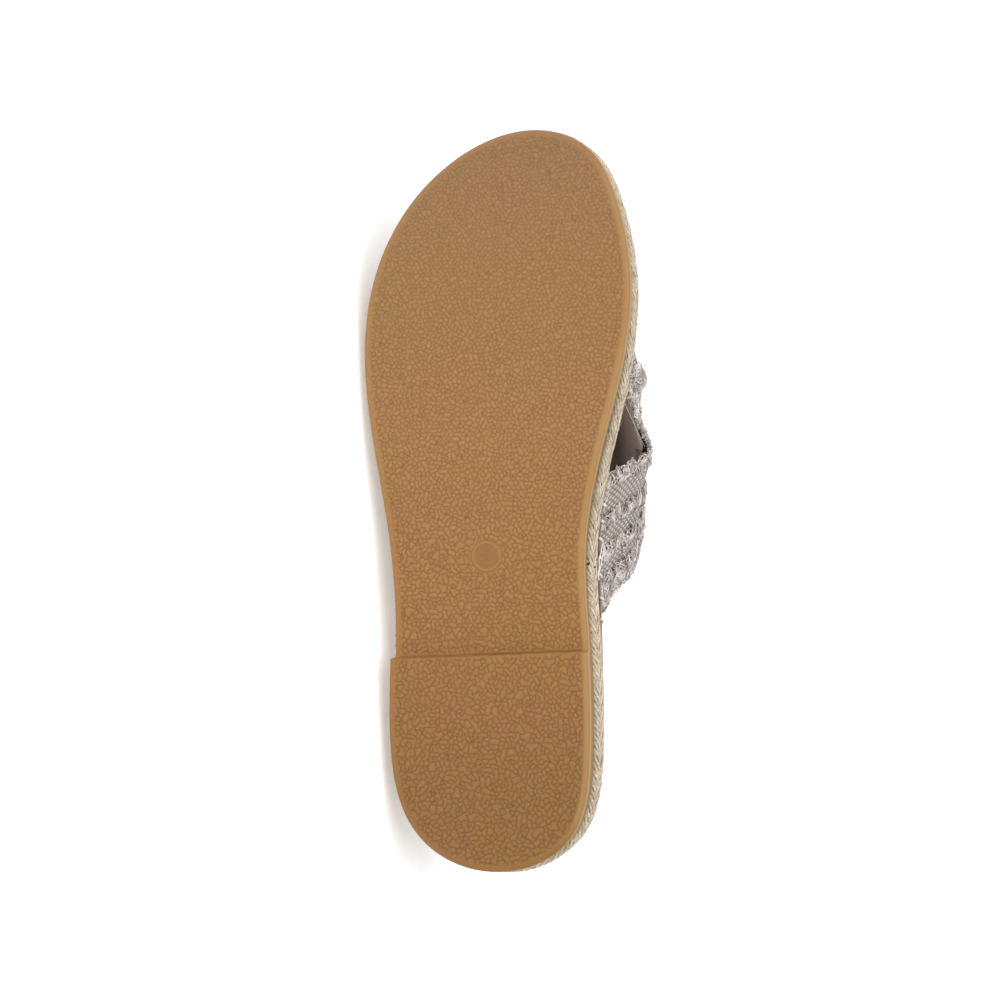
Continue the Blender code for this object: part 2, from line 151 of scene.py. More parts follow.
# Rubber relief: the pebbles lie in rows that fan out from a point ahead of the toe, so that they
# grow from toe to heel, and some neighbours are joined to longer ones
PEBBLE_PITCH_HEEL = 1.9
PEBBLE_PITCH_TOE = 1.5
PEBBLE_FAN = SOLE_LENGTH / (1 - PEBBLE_PITCH_TOE / PEBBLE_PITCH_HEEL)
PEBBLE_TURN = PEBBLE_PITCH_HEEL / PEBBLE_FAN
PEBBLE_SPREAD = 65.0
PEBBLE_MARGIN = 6.0
PEBBLE_JITTER = 0.27
PEBBLE_JITTER_MOST = 1.6
PEBBLE_JOINED = 0.85
PEBBLE_CHAIN_HEEL = 3
PEBBLE_CHAIN_TOE = 2
PEBBLE_CHAIN_CHANGE = 125.0
PEBBLE_SEED = 5
NEAR_CELLS = 2
GROOVE_DEPTH = 0.3
GROOVE_FLOOR = 0.04
GROOVE_WALL_HEEL = 0.30
GROOVE_WALL_TOE = 0.49
GROOVE_WALL_CHANGE = (105.0, 190.0)
GROOVE_STEP = 0.48
GROOVE_PARTS = 6
TOP_STEP = 0.66
TOP_CLEARANCE = 0.2
PEBBLE_BORDER = (0.2, 1.3)
PEBBLE_BREAST = (0.4, 1.4)
PEBBLE_TOE_FADE = (150.0, 264.0, 0.82)
RING_PLACE = (3.3, 112.8)
RING_RADIUS = 5.0
RING_LINE = (0.28, 0.52)
RING_MOAT = (0.85, 1.25)
RING_FLOOR = 0.75
RING_TOP = 0.2
RING_STEPS = 90
BREAST_STEPS = 150
BREAST_SHADE = 0.5
RING_MARGIN = 0.2
BREAST_MARGIN = 1.2
RIM_MARGIN = 0.35
# Painted highlight along the rubber's medial rounded edge: its fade in from the sides, its reach onto the
# tread, and where and by how much it fades towards the toe
EDGE_HIGHLIGHT_FADE = (0.3, 0.6)
EDGE_HIGHLIGHT_REACH = 0.5
EDGE_HIGHLIGHT_TOE_FADE = (165.0, 200.0)
EDGE_HIGHLIGHT_TOE_LOSS = 0.5
WALL_SHADE_RISE = (0.0, 0.45)
WALL_SHADE_END = (140.0, 190.0)
SOLE_STATIONS = 420
EDGE_STEPS = 6
WALL_STEPS = 3
RUBBER_SHARP_DEGREES = 60

# Rope: slips are wanders of its twist, each an amount, a period and a seed. Swings of fibres and chips
# are in millimetres along the rope, of which about TURN_LENGTH make a radian of the outline's turn
# angle. The notch is two thick chips, at turn angles from its place and at angles round the rope
ROPE_STRANDS = 10
ROPE_PITCHES = (24.0, -60.0)
ROPE_STRAND_DEPTH = 0.2
ROPE_STEP = 0.7
ROPE_SIDES = 40
ROPE_UNEVEN = 0.05
ROPE_UNEVEN_PERIOD = 17.0
ROPE_SLIPS = ((0.35, 40.0, 11), (0.10, 7.0, 14))
STRAND_ROUND = 0.7
ROPE_TALL = 1.04
# Painted shade on the underside of each rope row, next to the rubber and between the rows: how tightly it
# gathers there, and its share for each row
NOOK_SHADE_SHARP = 6
NOOK_SHADE_SHARES = (1.0, 0.4)
TURN_LENGTH = 110.0
FIBRE_COUNT = 1800
FIBRE_RADIUS = 0.05
FIBRE_STEPS = 6
FIBRE_LIFT = (0.1, 0.9)
FIBRE_BEND = (-0.6, 0.6)
FIBRE_TURN = (-1.2, 1.2)
FIBRE_SWING = (-3.0, 3.0)
CHIP_COUNT = 260
CHIP_RADIUS = 0.16
CHIP_STEPS = 4
CHIP_START = (-1.1, 1.0)
CHIP_TURN = (0.05, 0.3)
CHIP_SWING = (0.4, 1.4)
CHIP_THICK = (0.6, 1.3)
CHIP_SUNK = 0.1
NOTCH_PLACE = 109.5
NOTCH_TURNS = (-0.008, 0.002)
NOTCH_STARTS = (-1.25, 0.15)
NOTCH_SWING = 0.5
NOTCH_RADIUS = 0.8

# Footbed
RIM_SHARE = 1.15
RIM_WAIST = (108.0, 26.0, 1.2)
RIM_SOFT = 1.3
RIM_STEPS = 5
FOOTBED_STEP = 3.0
FOOTBED_MARGIN = 8.5
FOOTBED_SHARP_DEGREES = 50
SLOT_STEPS = 30

# Canvas: where each strip of a strap starts is a share of the strap's width from its front edge
STRIP_STARTS = (0.0, 0.34, 0.60, 0.82)
CANVAS = 0.65
CANVAS_STEP = 0.8
STRIP_COLUMNS = 14
STRIP_TUCK = 0.3
EDGE_CURL = 0.6
EDGE_CURL_PERIOD = 14.0
EDGE_WANDER = 0.9
EDGE_WANDER_PERIOD = 9.0
FLUTTER = 0.3
FLUTTER_PERIOD = 26.0
PRESSED_LATERAL = 0.25
PRESSED_FADE = (10.0, 60.0)
# Painted shade on the canvas: its reach from the torn edge, the covered part of the strip, and its strength
# and fade near the strap's feet
TORN_EDGE_SHADE = 0.14
COVERED_SHADE = (0.65, 1.0)
FOOT_SHADE = 0.6
FOOT_SHADE_FADE = (1.0, 12.0)
OVER_LIFT = 2.0
LINING = 0.8
LINING_COLUMNS = 24
LINING_STEP = 1.2
LINING_MARGIN = 0.012
YARN_ALONG = 1.8
YARN_ACROSS = 1.15
FOOT_DEPTH = 3.0
FRAY_PITCH = 0.5
FRAY_RADIUS = 0.25
FRAY_LENGTHS = ((1.2, 3.4), (2.0, 6.2), (2.5, 7.5), (2.5, 7.5))
FRAY_LENGTH_REAR = (1.0, 2.8)
FRAY_ROOTS = (3.4, 3.0, 4.0, 7.0)
FRAY_ROOT_REAR = 2.2
FRAY_STEPS = 10
FRAY_LEAN = 0.6
FRAY_CURL = (0.03, 0.20)
FRAY_SWIRLS = (0.4, 1.4)
FRAY_HOP = (-0.1, 1.0)
FRAY_DROP = (0.3, 1.1)
FRAY_THICK = (0.7, 1.2)
EDGE_YARN_PITCH = 3.2
EDGE_YARN_STEPS = 20
EDGE_YARN_LENGTH = (6, 14)
EDGE_YARN_SHIFT = (0, 5)
EDGE_YARN_LIFT = (0.1, 0.8)
EDGE_YARN_BACK = -0.6
EDGE_YARN_OUT = 3.2
EDGE_YARN_OUT_REAR = 0.6
FLOOR_CLEARANCE = 0.3

# Main creases: side of the strap's front foot, strip, millimetres along the strap from its medial
# foot, half its length, place on the strip from its torn edge (0) to its covered edge (1), and lift
CREASES = (
    (-1, 0, 30.0, 18.0, 0.0, -1.2),
    (-1, 1, 30.0, 8.0, 0.6, 3.6),
    (-1, 2, 26.0, 6.0, 0.0, 3.8),
    (-1, 3, 40.0, 10.0, 1.0, 2.0),
    (-1, 2, 75.0, 14.0, 0.0, 1.2),
    (1, 0, 42.0, 10.0, 0.0, 2.2),
    (1, 1, 44.0, 9.0, 0.0, 0.3),
    (1, 2, 36.0, 8.0, 0.0, 1.5),
    (1, 3, 27.0, 7.0, 0.0, 1.5),
    (1, 1, 90.0, 16.0, 0.0, 1.1),
    (1, 2, 120.0, 14.0, 0.0, 1.0),
)
CREASE_WIDTH = 0.4

# Places where a whole strap stands out or is drawn in: side of its front foot, millimetres along it
# from its medial foot, half the length, share of its width from the front, half the width, lift
BULGE_RISE = 6.0
BULGES = (
    (-1, 28.0, 22.0, 0.0, 0.36, -3.0),
    (-1, 33.0, 7.0, 0.72, 0.18, -1.6),
    (-1, 48.0, 11.0, 1.0, 0.35, 2.4),
)

# Where one edge of a strap is drawn towards the other: side of its front foot, the edge that stays
# (front is 0, rear is 1), millimetres along it from its medial foot, half the length, share of its width
PULLS = (
    (-1, 0, 14.0, 14.0, 0.15),
    (1, 0, 24.0, 7.0, 0.03),
    (1, 1, 0.0, 18.0, 0.07),
)

# Thick tufts of loose yarn: side of the strap's front foot, strip, whether on the rear edge,
# millimetres along the strap from its medial foot, half the length, yarns, shortest and longest yarn
TUFTS = (
    (-1, 1, False, 29.0, 9.0, 160, 1.5, 4.0),
    (-1, 2, False, 28.0, 10.0, 260, 2.0, 5.0),
    (-1, 3, False, 32.0, 14.0, 260, 1.5, 4.5),
    (-1, 3, True, 30.0, 16.0, 120, 1.0, 2.6),
    (1, 0, False, 22.0, 22.0, 160, 1.5, 4.0),
    (1, 1, False, 24.0, 20.0, 160, 2.0, 5.5),
    (1, 2, False, 28.0, 18.0, 120, 2.5, 6.5),
    (1, 3, False, 20.0, 16.0, 220, 2.0, 6.0),
    (1, 3, True, 12.0, 3.5, 140, 2.0, 4.5),
    (1, 3, True, 3.0, 2.0, 110, 2.5, 6.0),
)

# Stitches that hold the strap feet on the footbed's rim, and the course of one: shares of its
# length with distances past the rim, and shares of its length with heights over the footbed
STITCH_PITCH = 7.2
STITCH_RADIUS = 0.6
STITCH_STEPS = 11
STITCH_OUT = ((0, 0.4, 0.55, 0.8, 1), (-3.6, -0.9, 0.25, 0.5, 0.3))
STITCH_RISE = ((0, 0.25, 0.45, 0.8, 1), (-0.3, 0.4, 0.1, -2.6, -4.4))

# Loose threads on the medial side: radius, then for each spot its distance from the heel, its height
# and its distance past the outline
THREAD_STEPS = 40
LOOSE_THREADS = (
    (0.30, ((117.4, 20.5, 3.3), (114.2, 18.5, 2.9), (111.4, 17, 2.6), (108, 16.5, 2.5), (104, 16.5, 2.3))),
    (0.26, ((116.7, 21, 3.7), (113.8, 19.5, 3.4), (111, 18, 3.1), (108.1, 17.2, 2.8), (105.2, 17, 2.4))),
    (0.13, ((143.2, 23, 0.5), (139.5, 22, 0.4), (136.3, 23, 1.7), (132.6, 21.5, 1.2), (129.7, 21, 1.1))),
    (0.13, ((141.4, 24, 1.5), (138.1, 22.5, 1.4), (135.2, 23.5, 2.2), (131.9, 22, 1.6), (129, 21, 2))),
    (0.09, ((168.1, 28, -0.8), (164.4, 37, 0.3), (160.7, 45, 1.7), (156.8, 52, 3.3), (153.2, 59, 4.9))),
)

# Camera, in the shoe's frame: turned from straight below towards the medial side
CAMERA_TURN = 14.0
CAMERA_DISTANCE = 700.0
CAMERA_TARGET = (0.0, 133.0, 10.0)
PHOTO_PITCH = 0.3616
PHOTO_WIDTH = 1000
SENSOR = 36.0

# Light and floor, in metres
SURROUND_STRENGTH = 0.6
SUN_DEGREES = 60
SUN_STRENGTH = 2.0
SUN_PLACE = (-0.5, -0.7, 1.6)
FLOOR_REACH = 4.0
FLOOR_WHITE = 0.93
FLOOR_GLOW = 0.3


# The shoe's form

def smooth_table(table, column, x):
    """Value of one column of a table at x, on a smooth curve that never overshoots its rows."""
    rows = np.array(table, dtype=float)
    knots = rows[:, 0]
    values = rows[:, column]
    steps = np.diff(knots)
    slopes = np.diff(values) / steps
    tangents = np.zeros_like(values)
    tangents[0] = slopes[0]
    tangents[-1] = slopes[-1]
    for i in range(1, len(values) - 1):
        if slopes[i - 1] * slopes[i] > 0:
            tangents[i] = 2 * slopes[i - 1] * slopes[i] / (slopes[i - 1] + slopes[i])
    x = np.clip(np.asarray(x, dtype=float), knots[0], knots[-1])
    i = np.clip(np.searchsorted(knots, x, side="right") - 1, 0, len(steps) - 1)
    h = steps[i]
    t = (x - knots[i]) / h
    rise = values[i] * (2 * t**3 - 3 * t**2 + 1) + values[i + 1] * (3 * t**2 - 2 * t**3)
    lean = tangents[i] * (t**3 - 2 * t**2 + t) + tangents[i + 1] * (t**3 - t**2)
    return rise + h * lean


def half_turn(y):
    """Turn angle of the outline's lateral side at a distance from the heel."""
    return np.arccos(1 - 2 * y / SOLE_LENGTH)


def outline_spline():
    """Knots, values and second derivatives of the outline's periodic cubic spline."""
    values = np.array([row[2] for row in OUTLINE])
    knots = half_turn(np.array([row[1] for row in OUTLINE]))
    knots[TOE_ROW + 1:] = 2 * np.pi - knots[TOE_ROW + 1:]
    count = len(knots)
    steps = np.diff(np.append(knots, knots[0] + 2 * np.pi))
    slopes = (np.roll(values, -1) - values) / steps
    system = np.zeros((count, count))
    for i in range(count):
        system[i, i - 1] += steps[i - 1]
        system[i, i] += 2 * (steps[i - 1] + steps[i])
        system[i, (i + 1) % count] += steps[i]
    return knots, values, np.linalg.solve(system, 6 * (slopes - np.roll(slopes, 1)))


SPLINE = outline_spline()


def outline_x(angle):
    """Distance across at a turn angle: 0 at the heel, pi at the toe, lateral side first."""
    knots, values, bend = SPLINE
    angle = np.mod(angle, 2 * np.pi)
    i = np.searchsorted(knots, angle, side="right") - 1
    j = (i + 1) % len(knots)
    h = np.mod(knots[j] - knots[i], 2 * np.pi)
    right = angle - knots[i]
    left = h - right
    curve = (bend[i] * left**3 + bend[j] * right**3) / (6 * h)
    line = (values[i] / h - bend[i] * h / 6) * left + (values[j] / h - bend[j] * h / 6) * right
    return curve + line


def outline_points(angles, offset):
    """Points of the sole outline moved out by an offset along its normal."""
    small = 1e-4
    y = SOLE_LENGTH * (1 - np.cos(angles)) / 2
    tangent_x = (outline_x(angles + small) - outline_x(angles - small)) / (2 * small)
    tangent_y = SOLE_LENGTH * np.sin(angles) / 2
    length = np.hypot(tangent_x, tangent_y)
    x = outline_x(angles) + offset * tangent_y / length
    return x, y - offset * tangent_x / length


def side_x(y, side, offset):
    """Distance across of the offset outline at y, on the lateral (+1) or medial (-1) side."""
    angles = np.linspace(SIDE_START, np.pi - SIDE_START, SIDE_STEPS)
    if side < 0:
        angles = 2 * np.pi - angles
    x_points, y_points = outline_points(angles, offset)
    return np.interp(y, y_points, x_points, left=np.nan, right=np.nan)


def side_path(y, side, offsets):
    """Distances across along one side of the sole, each at its own offset from the outline."""
    return np.array([side_x(place, side, offset) for place, offset in zip(y, offsets)])


def rubber_top(y):
    return smooth_table(LAYERS, 2, y)


def rope_base(y):
    return rubber_top(y) + SEAT_GAP


def rope_height(y):
    return smooth_table(LAYERS, 3, y)


def rope_radius(y):
    return rope_height(y) / (2 * ROPE_ROWS)


def rope_top(y):
    return rope_base(y) + rope_height(y)


def rope_out(y, lateral):
    """How far the rope stands out past the outline."""
    return np.where(lateral, smooth_table(LAYERS, 5, y), smooth_table(LAYERS, 4, y))


def footbed(y):
    """Top of the insole."""
    return rope_top(y) + SEAT_GAP + INSOLE_THICKNESS


def breast_way(x, y):
    """How far a place of the sole lies ahead of the heel breast, which slants across the sole."""
    medial = side_x(HEEL_BREAST_MEDIAL, -1, 0.0)
    lateral = side_x(HEEL_BREAST_LATERAL, 1, 0.0)
    share = (x - medial) / (lateral - medial)
    return y - HEEL_BREAST_MEDIAL - share * (HEEL_BREAST_LATERAL - HEEL_BREAST_MEDIAL)


def tread(x, y):
    """Bottom of the rubber: the heel block, then the arch, the ball and the toe spring."""
    return np.clip(breast_way(x, y) / BREAST_DRAFT, 0, 1) * smooth_table(LAYERS, 1, y)


def lip_inset(y, lateral):
    """How far the rubber draws in ahead of the heel block."""
    ahead = y - np.where(lateral, HEEL_BREAST_LATERAL, HEEL_BREAST_MEDIAL)
    lip = np.where(lateral, HEEL_LIP_LATERAL, HEEL_LIP_MEDIAL)
    return np.clip(ahead / BREAST_DRAFT, 0, 1) * lip * np.clip(1 - ahead / HEEL_LIP_FADE, 0, 1)


def last_point(y, across):
    """Point of the last: across runs from 0 at the medial foot over the ridge to 1, lateral."""
    side = np.where(across < 0.5, -1.0, 1.0)
    t = np.where(across < 0.5, 2 * across, 2 - 2 * across)
    inset = -INSOLE_INSET - STRAP_FOOT_INSET
    foot = np.where(side < 0, side_x(y, -1, inset), side_x(y, 1, inset))
    height = smooth_table(LAST, 1, y)
    ridge = smooth_table(LAST, 2, y)
    lean = np.where(side < 0, smooth_table(LAST, 3, y), smooth_table(LAST, 5, y))
    shoulder = np.where(side < 0, smooth_table(LAST, 4, y), smooth_table(LAST, 6, y))
    weights = ((1 - t) ** 3, 3 * (1 - t) ** 2 * t, 3 * (1 - t) * t**2, t**3)
    xs = (foot, foot + side * lean, ridge + side * shoulder, ridge)
    zs = (0.0 * height, WALL_REACH * height, height, height)
    x = sum(weight * value for weight, value in zip(weights, xs))
    z = sum(weight * value for weight, value in zip(weights, zs))
    return np.stack([x, y, z + footbed(y)], axis=-1)


def last_normal(y, across):
    """Outward direction of the last."""
    small = 1e-3
    along = last_point(y + small, across) - last_point(y - small, across)
    around = last_point(y, across + small) - last_point(y, across - small)
    return unit(np.cross(around, along))


def strap_edges(across, front_side):
    """Front and rear edge of a strap where it crosses the last at a given place."""
    share = across if front_side < 0 else 1 - across
    return smooth_table(STRAP, 1, share), smooth_table(STRAP, 2, share)


# Small tools

def unit(vectors):
    return vectors / np.linalg.norm(vectors, axis=-1, keepdims=True)


def smooth(value, low, high):
    """0 below low, 1 above high, and a smooth rise between them."""
    t = np.clip((value - low) / (high - low), 0, 1)
    return t * t * (3 - 2 * t)


def draws(rng, span, count):
    """Column of random numbers within a span."""
    return rng.uniform(*span, (count, 1))


def hump(x, place, reach):
    """Soft hump along x: 1 at its place, and almost 0 past twice its reach."""
    return np.exp(-(((x - place) / reach) ** 2))


def waves(x, period, seed, count=5):
    """Smooth seeded unevenness along x, about -1 to 1, from waves around a main period."""
    rng = np.random.default_rng(seed)
    total = np.zeros_like(np.asarray(x, dtype=float))
    for _ in range(count):
        length = period * rng.uniform(0.5, 1.6)
        total += np.sin(2 * np.pi * (x / length + rng.uniform()))
    return total / np.sqrt(count)


def shoe_pose():
    """Turn and origin of the shoe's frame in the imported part, in metres."""
    mounts = {mount["name"]: mount for mount in frame["record"]["mounts"]}
    heel = np.array(mounts["heel_tread"]["pos_m"])
    toe_way = unit(np.array(mounts["forefoot_tread"]["pos_m"]) - heel)
    up = -np.array(mounts["heel_tread"]["axis"])
    turn = np.column_stack([np.cross(toe_way, up), toe_way, up])
    return turn, heel - toe_way * HEEL_MOUNT_Y * MM


TURN, ORIGIN = shoe_pose()


def to_world(points):
    return ORIGIN + (np.asarray(points) * MM) @ TURN.T


def above_floor(points):
    """Raise points, in shoe millimetres, that would sink into the floor."""
    sunk = FLOOR_CLEARANCE - to_world(points)[..., 2] / MM
    return points + np.maximum(sunk, 0)[..., None] * TURN[2]


def new_object(name, data):
    thing = bpy.data.objects.new(name, data)
    bpy.context.collection.objects.link(thing)
    return thing


def new_piece(name, points, faces, material, replaced=None):
    """Shown mesh from points in shoe millimetres, riding on the part's one body."""
    mesh = bpy.data.meshes.new(name)
    mesh.from_pydata(to_world(points).tolist(), [], faces)
    mesh.materials.append(material)
    mesh.shade_smooth()
    piece = new_object(name, mesh)
    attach(piece, "root")
    if replaced:
        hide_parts(replaced)
    return piece


def set_values(piece, name, values, first=0):
    """Store a number for each point of a piece from the first on, for its material; others have 0."""
    every = np.zeros(len(piece.data.vertices), dtype=np.float32)
    every[first:first + len(values)] = values
    layer = piece.data.attributes.new(name, "FLOAT", "POINT")
    layer.data.foreach_set("value", every)


def set_uv(piece, corners):
    """Store the flat coordinates of each face corner of a piece, for its material."""
    layer = piece.data.uv_layers.new(name="flat")
    layer.uv.foreach_set("vector", np.asarray(corners, dtype=np.float32).ravel())


def grid_faces(rows, columns, closed_rows=False, closed_columns=False):
    """Quads over rows of points; a closed direction joins its last line to its first."""
    i = np.arange(rows if closed_rows else rows - 1)
    j = np.arange(columns if closed_columns else columns - 1)
    i, j = np.meshgrid(i, j, indexing="ij")
    next_i = (i + 1) % rows
    next_j = (j + 1) % columns
    corners = (i * columns + j, i * columns + next_j, next_i * columns + next_j, next_i * columns + j)
    return np.stack(corners, axis=-1).reshape(-1, 4)


def tube_piece(name, paths, radii, sides, material):
    """Piece of many thin tubes, each along its own path and closed at both ends."""
    count, steps = paths.shape[:2]
    radii = np.broadcast_to(radii, (count, steps))
    paths = above_floor(paths)
    along = unit(np.gradient(paths, axis=1) + 1e-9)
    main = np.abs(along.mean(axis=1))
    aside = np.eye(3)[main.argmin(axis=1)][:, None, :]
    first = unit(np.cross(along, aside))
    second = np.cross(along, first)
    turns = 2 * np.pi * np.arange(sides) / sides
    ring = np.cos(turns)[:, None] * first[:, :, None] + np.sin(turns)[:, None] * second[:, :, None]
    points = paths[:, :, None] + radii[:, :, None, None] * ring
    wall = grid_faces(steps, sides, closed_columns=True)
    caps = (tuple(range(sides))[::-1], tuple(range((steps - 1) * sides, steps * sides)))
    faces = []
    for tube in range(count):
        low = tube * steps * sides
        faces.extend((wall + low).tolist())
        faces.extend([low + corner for corner in cap] for cap in caps)
    new_piece(name, points.reshape(-1, 3), faces, material)


def half_angles(breast):
    """Turn angles of the sole's stations on one side, with a pair at the heel breast."""
    even = np.linspace(0, np.pi, SOLE_STATIONS + 1)
    pair = half_turn(np.array([breast, breast + BREAST_DRAFT]))
    near = np.argsort(np.abs(even - pair.mean()))[:2]
    return np.sort(np.concatenate([np.delete(even, near), pair]))


def ring_angles():
    """All stations in order round the sole, lateral side first, heel and toe once each."""
    medial = half_angles(HEEL_BREAST_MEDIAL)
    return np.concatenate([half_angles(HEEL_BREAST_LATERAL), 2 * np.pi - medial[-2:0:-1]])


def sole_ring(offset, height):
    """Ring of points round the sole, from its offset and its height at each place."""
    angles = ring_angles()
    lateral = angles < np.pi
    x, y = outline_points(angles, 0.0)
    x, y = outline_points(angles, offset(y, lateral))
    return np.column_stack([x, y, height(x, y)])


def edge_rings(insets, rises, offset, height):
    """Rings of points round an edge of the sole, each drawn in and raised by its own amount."""
    rings = []
    for inset, rise in zip(insets, rises):
        rings.append(sole_ring(
            lambda y, lateral: offset(y, lateral) - inset, lambda x, y: height(x, y) + rise))
    return rings


def span_faces(low, count):
    """Faces across a ring of points, from its lateral to its medial half, looking up."""
    toe = count // 2
    faces = [(low, low + 1, low + count - 1)]
    for i in range(1, toe - 1):
        faces.append((low + i, low + i + 1, low + count - i - 1, low + count - i))
    faces.append((low + toe - 1, low + toe, low + toe + 1))
    return faces


def fill_ring(rings, inner):
    """Triangles, looking up, inside the first ring, outside the others and through inner points."""
    points = np.vstack(rings + [inner])
    edges = []
    low = 0
    for ring in rings:
        count = len(ring)
        edges.extend((low + i, low + (i + 1) % count) for i in range(count))
        low += count
    return points, triangulate(points, edges, FILL_AROUND_HOLES if len(rings) > 1 else FILL_INSIDE)


def triangulate(points, edges, kind):
    """Triangles over flat points, as numbers of their corners."""
    return geometry.delaunay_2d_cdt([Vector(point) for point in points], edges, [], kind, FILL_NEARNESS)[2]


# Outsole

def pebble_seeds():
    """Grid of pebble places over the sole, and the number of the pebble that each belongs to."""
    rng = np.random.default_rng(PEBBLE_SEED)
    far = PEBBLE_FAN + PEBBLE_MARGIN
    near = PEBBLE_FAN - SOLE_LENGTH - PEBBLE_MARGIN
    rows = int(np.log(far / near) / (PEBBLE_TURN * ROW_SHARE))
    columns = int(2 * PEBBLE_SPREAD / PEBBLE_PITCH_HEEL)
    i, j = np.meshgrid(np.arange(rows), np.arange(columns), indexing="ij")
    turn = (j + 0.5 * (i % 2)) * PEBBLE_TURN - PEBBLE_SPREAD / PEBBLE_FAN
    reach = far * np.exp(-i * PEBBLE_TURN * ROW_SHARE)
    places = np.stack([reach * np.sin(turn), PEBBLE_FAN - reach * np.cos(turn)], axis=-1)
    shift = PEBBLE_JITTER * rng.standard_normal(places.shape).clip(-PEBBLE_JITTER_MOST, PEBBLE_JITTER_MOST)
    places += shift * (reach * PEBBLE_TURN)[:, :, None]
    number = np.arange(rows * columns).reshape(rows, columns)
    members = {cell: [cell] for cell in range(rows * columns)}
    for row, column in rng.permutation(np.argwhere(rng.random((rows, columns)) < PEBBLE_JOINED)):
        down, over = ((0, 1), (1, 0), (1, -1 if row % 2 == 0 else 1))[rng.integers(3)]
        own = number[row, column]
        other = number[min(row + down, rows - 1), min(max(column + over, 0), columns - 1)]
        at_toe = places[row, column, 1] > PEBBLE_CHAIN_CHANGE
        most = PEBBLE_CHAIN_TOE if at_toe else PEBBLE_CHAIN_HEEL
        if own != other and len(members[own]) + len(members[other]) <= most:
            number.flat[members[other]] = own
            members[own] += members.pop(other)
    return places, number


def groove_distance(seeds, x, y):
    """Distance of places of the tread from the nearest groove between two pebbles."""
    places, number = seeds
    rows, columns = number.shape
    reach = np.hypot(x, PEBBLE_FAN - y)
    turn = np.arctan2(x, PEBBLE_FAN - y) + PEBBLE_SPREAD / PEBBLE_FAN
    row = np.log((PEBBLE_FAN + PEBBLE_MARGIN) / reach) / (PEBBLE_TURN * ROW_SHARE)
    row = np.rint(row).astype(int)
    column = np.rint(turn / PEBBLE_TURN - 0.25).astype(int)
    here = np.column_stack([x, y])
    near = []
    span = range(-NEAR_CELLS, NEAR_CELLS + 1)
    for down in span:
        for over in span:
            near.append((np.clip(row + down, 0, rows - 1), np.clip(column + over, 0, columns - 1)))
    spots = np.stack([places[index] for index in near])
    owners = np.stack([number[index] for index in near])
    away = ((spots - here) ** 2).sum(axis=-1)
    nearest = away.argmin(axis=0)
    every = np.arange(len(x))
    own_spot = spots[nearest, every]
    apart = np.sqrt(((spots - own_spot) ** 2).sum(axis=-1))
    other = owners != owners[nearest, every]
    edge = (away - away[nearest, every]) / (2 * np.maximum(apart, 1e-6))
    return np.where(other, edge, np.inf).min(axis=0)


def circle_centres(second, third):
    """Centres of the circles through the origin and two more points."""
    area = 2 * (second[:, 0] * third[:, 1] - second[:, 1] * third[:, 0])
    second_square = (second**2).sum(axis=1)
    third_square = (third**2).sum(axis=1)
    x = (third[:, 1] * second_square - second[:, 1] * third_square) / area
    y = (second[:, 0] * third_square - third[:, 0] * second_square) / area
    return np.column_stack([x, y])


def groove_places(seeds):
    """Places along the bottoms of the grooves, on the borders between the pebbles."""
    places, number = seeds
    spots = places.reshape(-1, 2)
    triangles = np.array(triangulate(spots, [], FILL_ALL))
    corner = spots[triangles[:, 0]]
    to_second = spots[triangles[:, 1]] - corner
    to_third = spots[triangles[:, 2]] - corner
    centres = corner + circle_centres(to_second, to_third)
    sides = np.concatenate([triangles[:, [0, 1]], triangles[:, [1, 2]], triangles[:, [2, 0]]])
    owner = np.tile(np.arange(len(triangles)), 3)
    sides = np.sort(sides, axis=1)
    order = np.lexsort((sides[:, 1], sides[:, 0]))
    sides, owner = sides[order], owner[order]
    shared = np.flatnonzero((sides[1:] == sides[:-1]).all(axis=1))
    numbers = number.ravel()
    shared = shared[numbers[sides[shared, 0]] != numbers[sides[shared, 1]]]
    start, end = centres[owner[shared]], centres[owner[shared + 1]]
    length = np.linalg.norm(end - start, axis=1)
    lines = []
    for parts in range(1, GROOVE_PARTS + 1):
        chosen = (length > (parts - 1) * GROOVE_STEP) & (length <= parts * GROOVE_STEP)
        share = (np.arange(parts) + 0.5)[:, None, None] / parts
        lines.append((start[chosen] + share * (end - start)[chosen]).reshape(-1, 2))
    return np.vstack(lines)


def top_places(seeds):
    """Places on the pebbles' tops, in even rows, clear of the grooves."""
    row_step = TOP_STEP * ROW_SHARE
    rows = np.arange(int(SOLE_LENGTH / row_step))
    columns = np.arange(int(2 * SOLE_HALF_WIDTH / TOP_STEP))
    i, j = np.meshgrid(rows, columns, indexing="ij")
    x = ((j + 0.5 * (i % 2)) * TOP_STEP - SOLE_HALF_WIDTH).ravel()
    y = (i * row_step).ravel()
    clear = groove_distance(seeds, x, y) > TOP_CLEARANCE
    return np.column_stack([x[clear], y[clear]])


def rim_reach(x, y):
    """How far a place of the tread lies inside its rim; not a number beyond heel and toe."""
    medial = x - side_x(y, -1, -TREAD_EDGE_ROUND) - lip_inset(y, False)
    lateral = side_x(y, 1, -TREAD_EDGE_ROUND) - lip_inset(y, True) - x
    return np.minimum(medial, lateral)


def ring_reach(x, y):
    """Distance of a place from the middle of the ring mark's line."""
    return np.hypot(x - RING_PLACE[0], y - RING_PLACE[1]) - RING_RADIUS


def ring_places():
    """Places along the edges of the ring mark's line and of the moat round it."""
    turn = np.linspace(0, 2 * np.pi, RING_STEPS, endpoint=False)
    lines = []
    line, foot = RING_LINE
    for radius in RING_RADIUS + np.array([-foot, -line, line, foot, *RING_MOAT]):
        lines.append(radius * np.column_stack([np.cos(turn), np.sin(turn)]) + RING_PLACE)
    return np.vstack(lines)


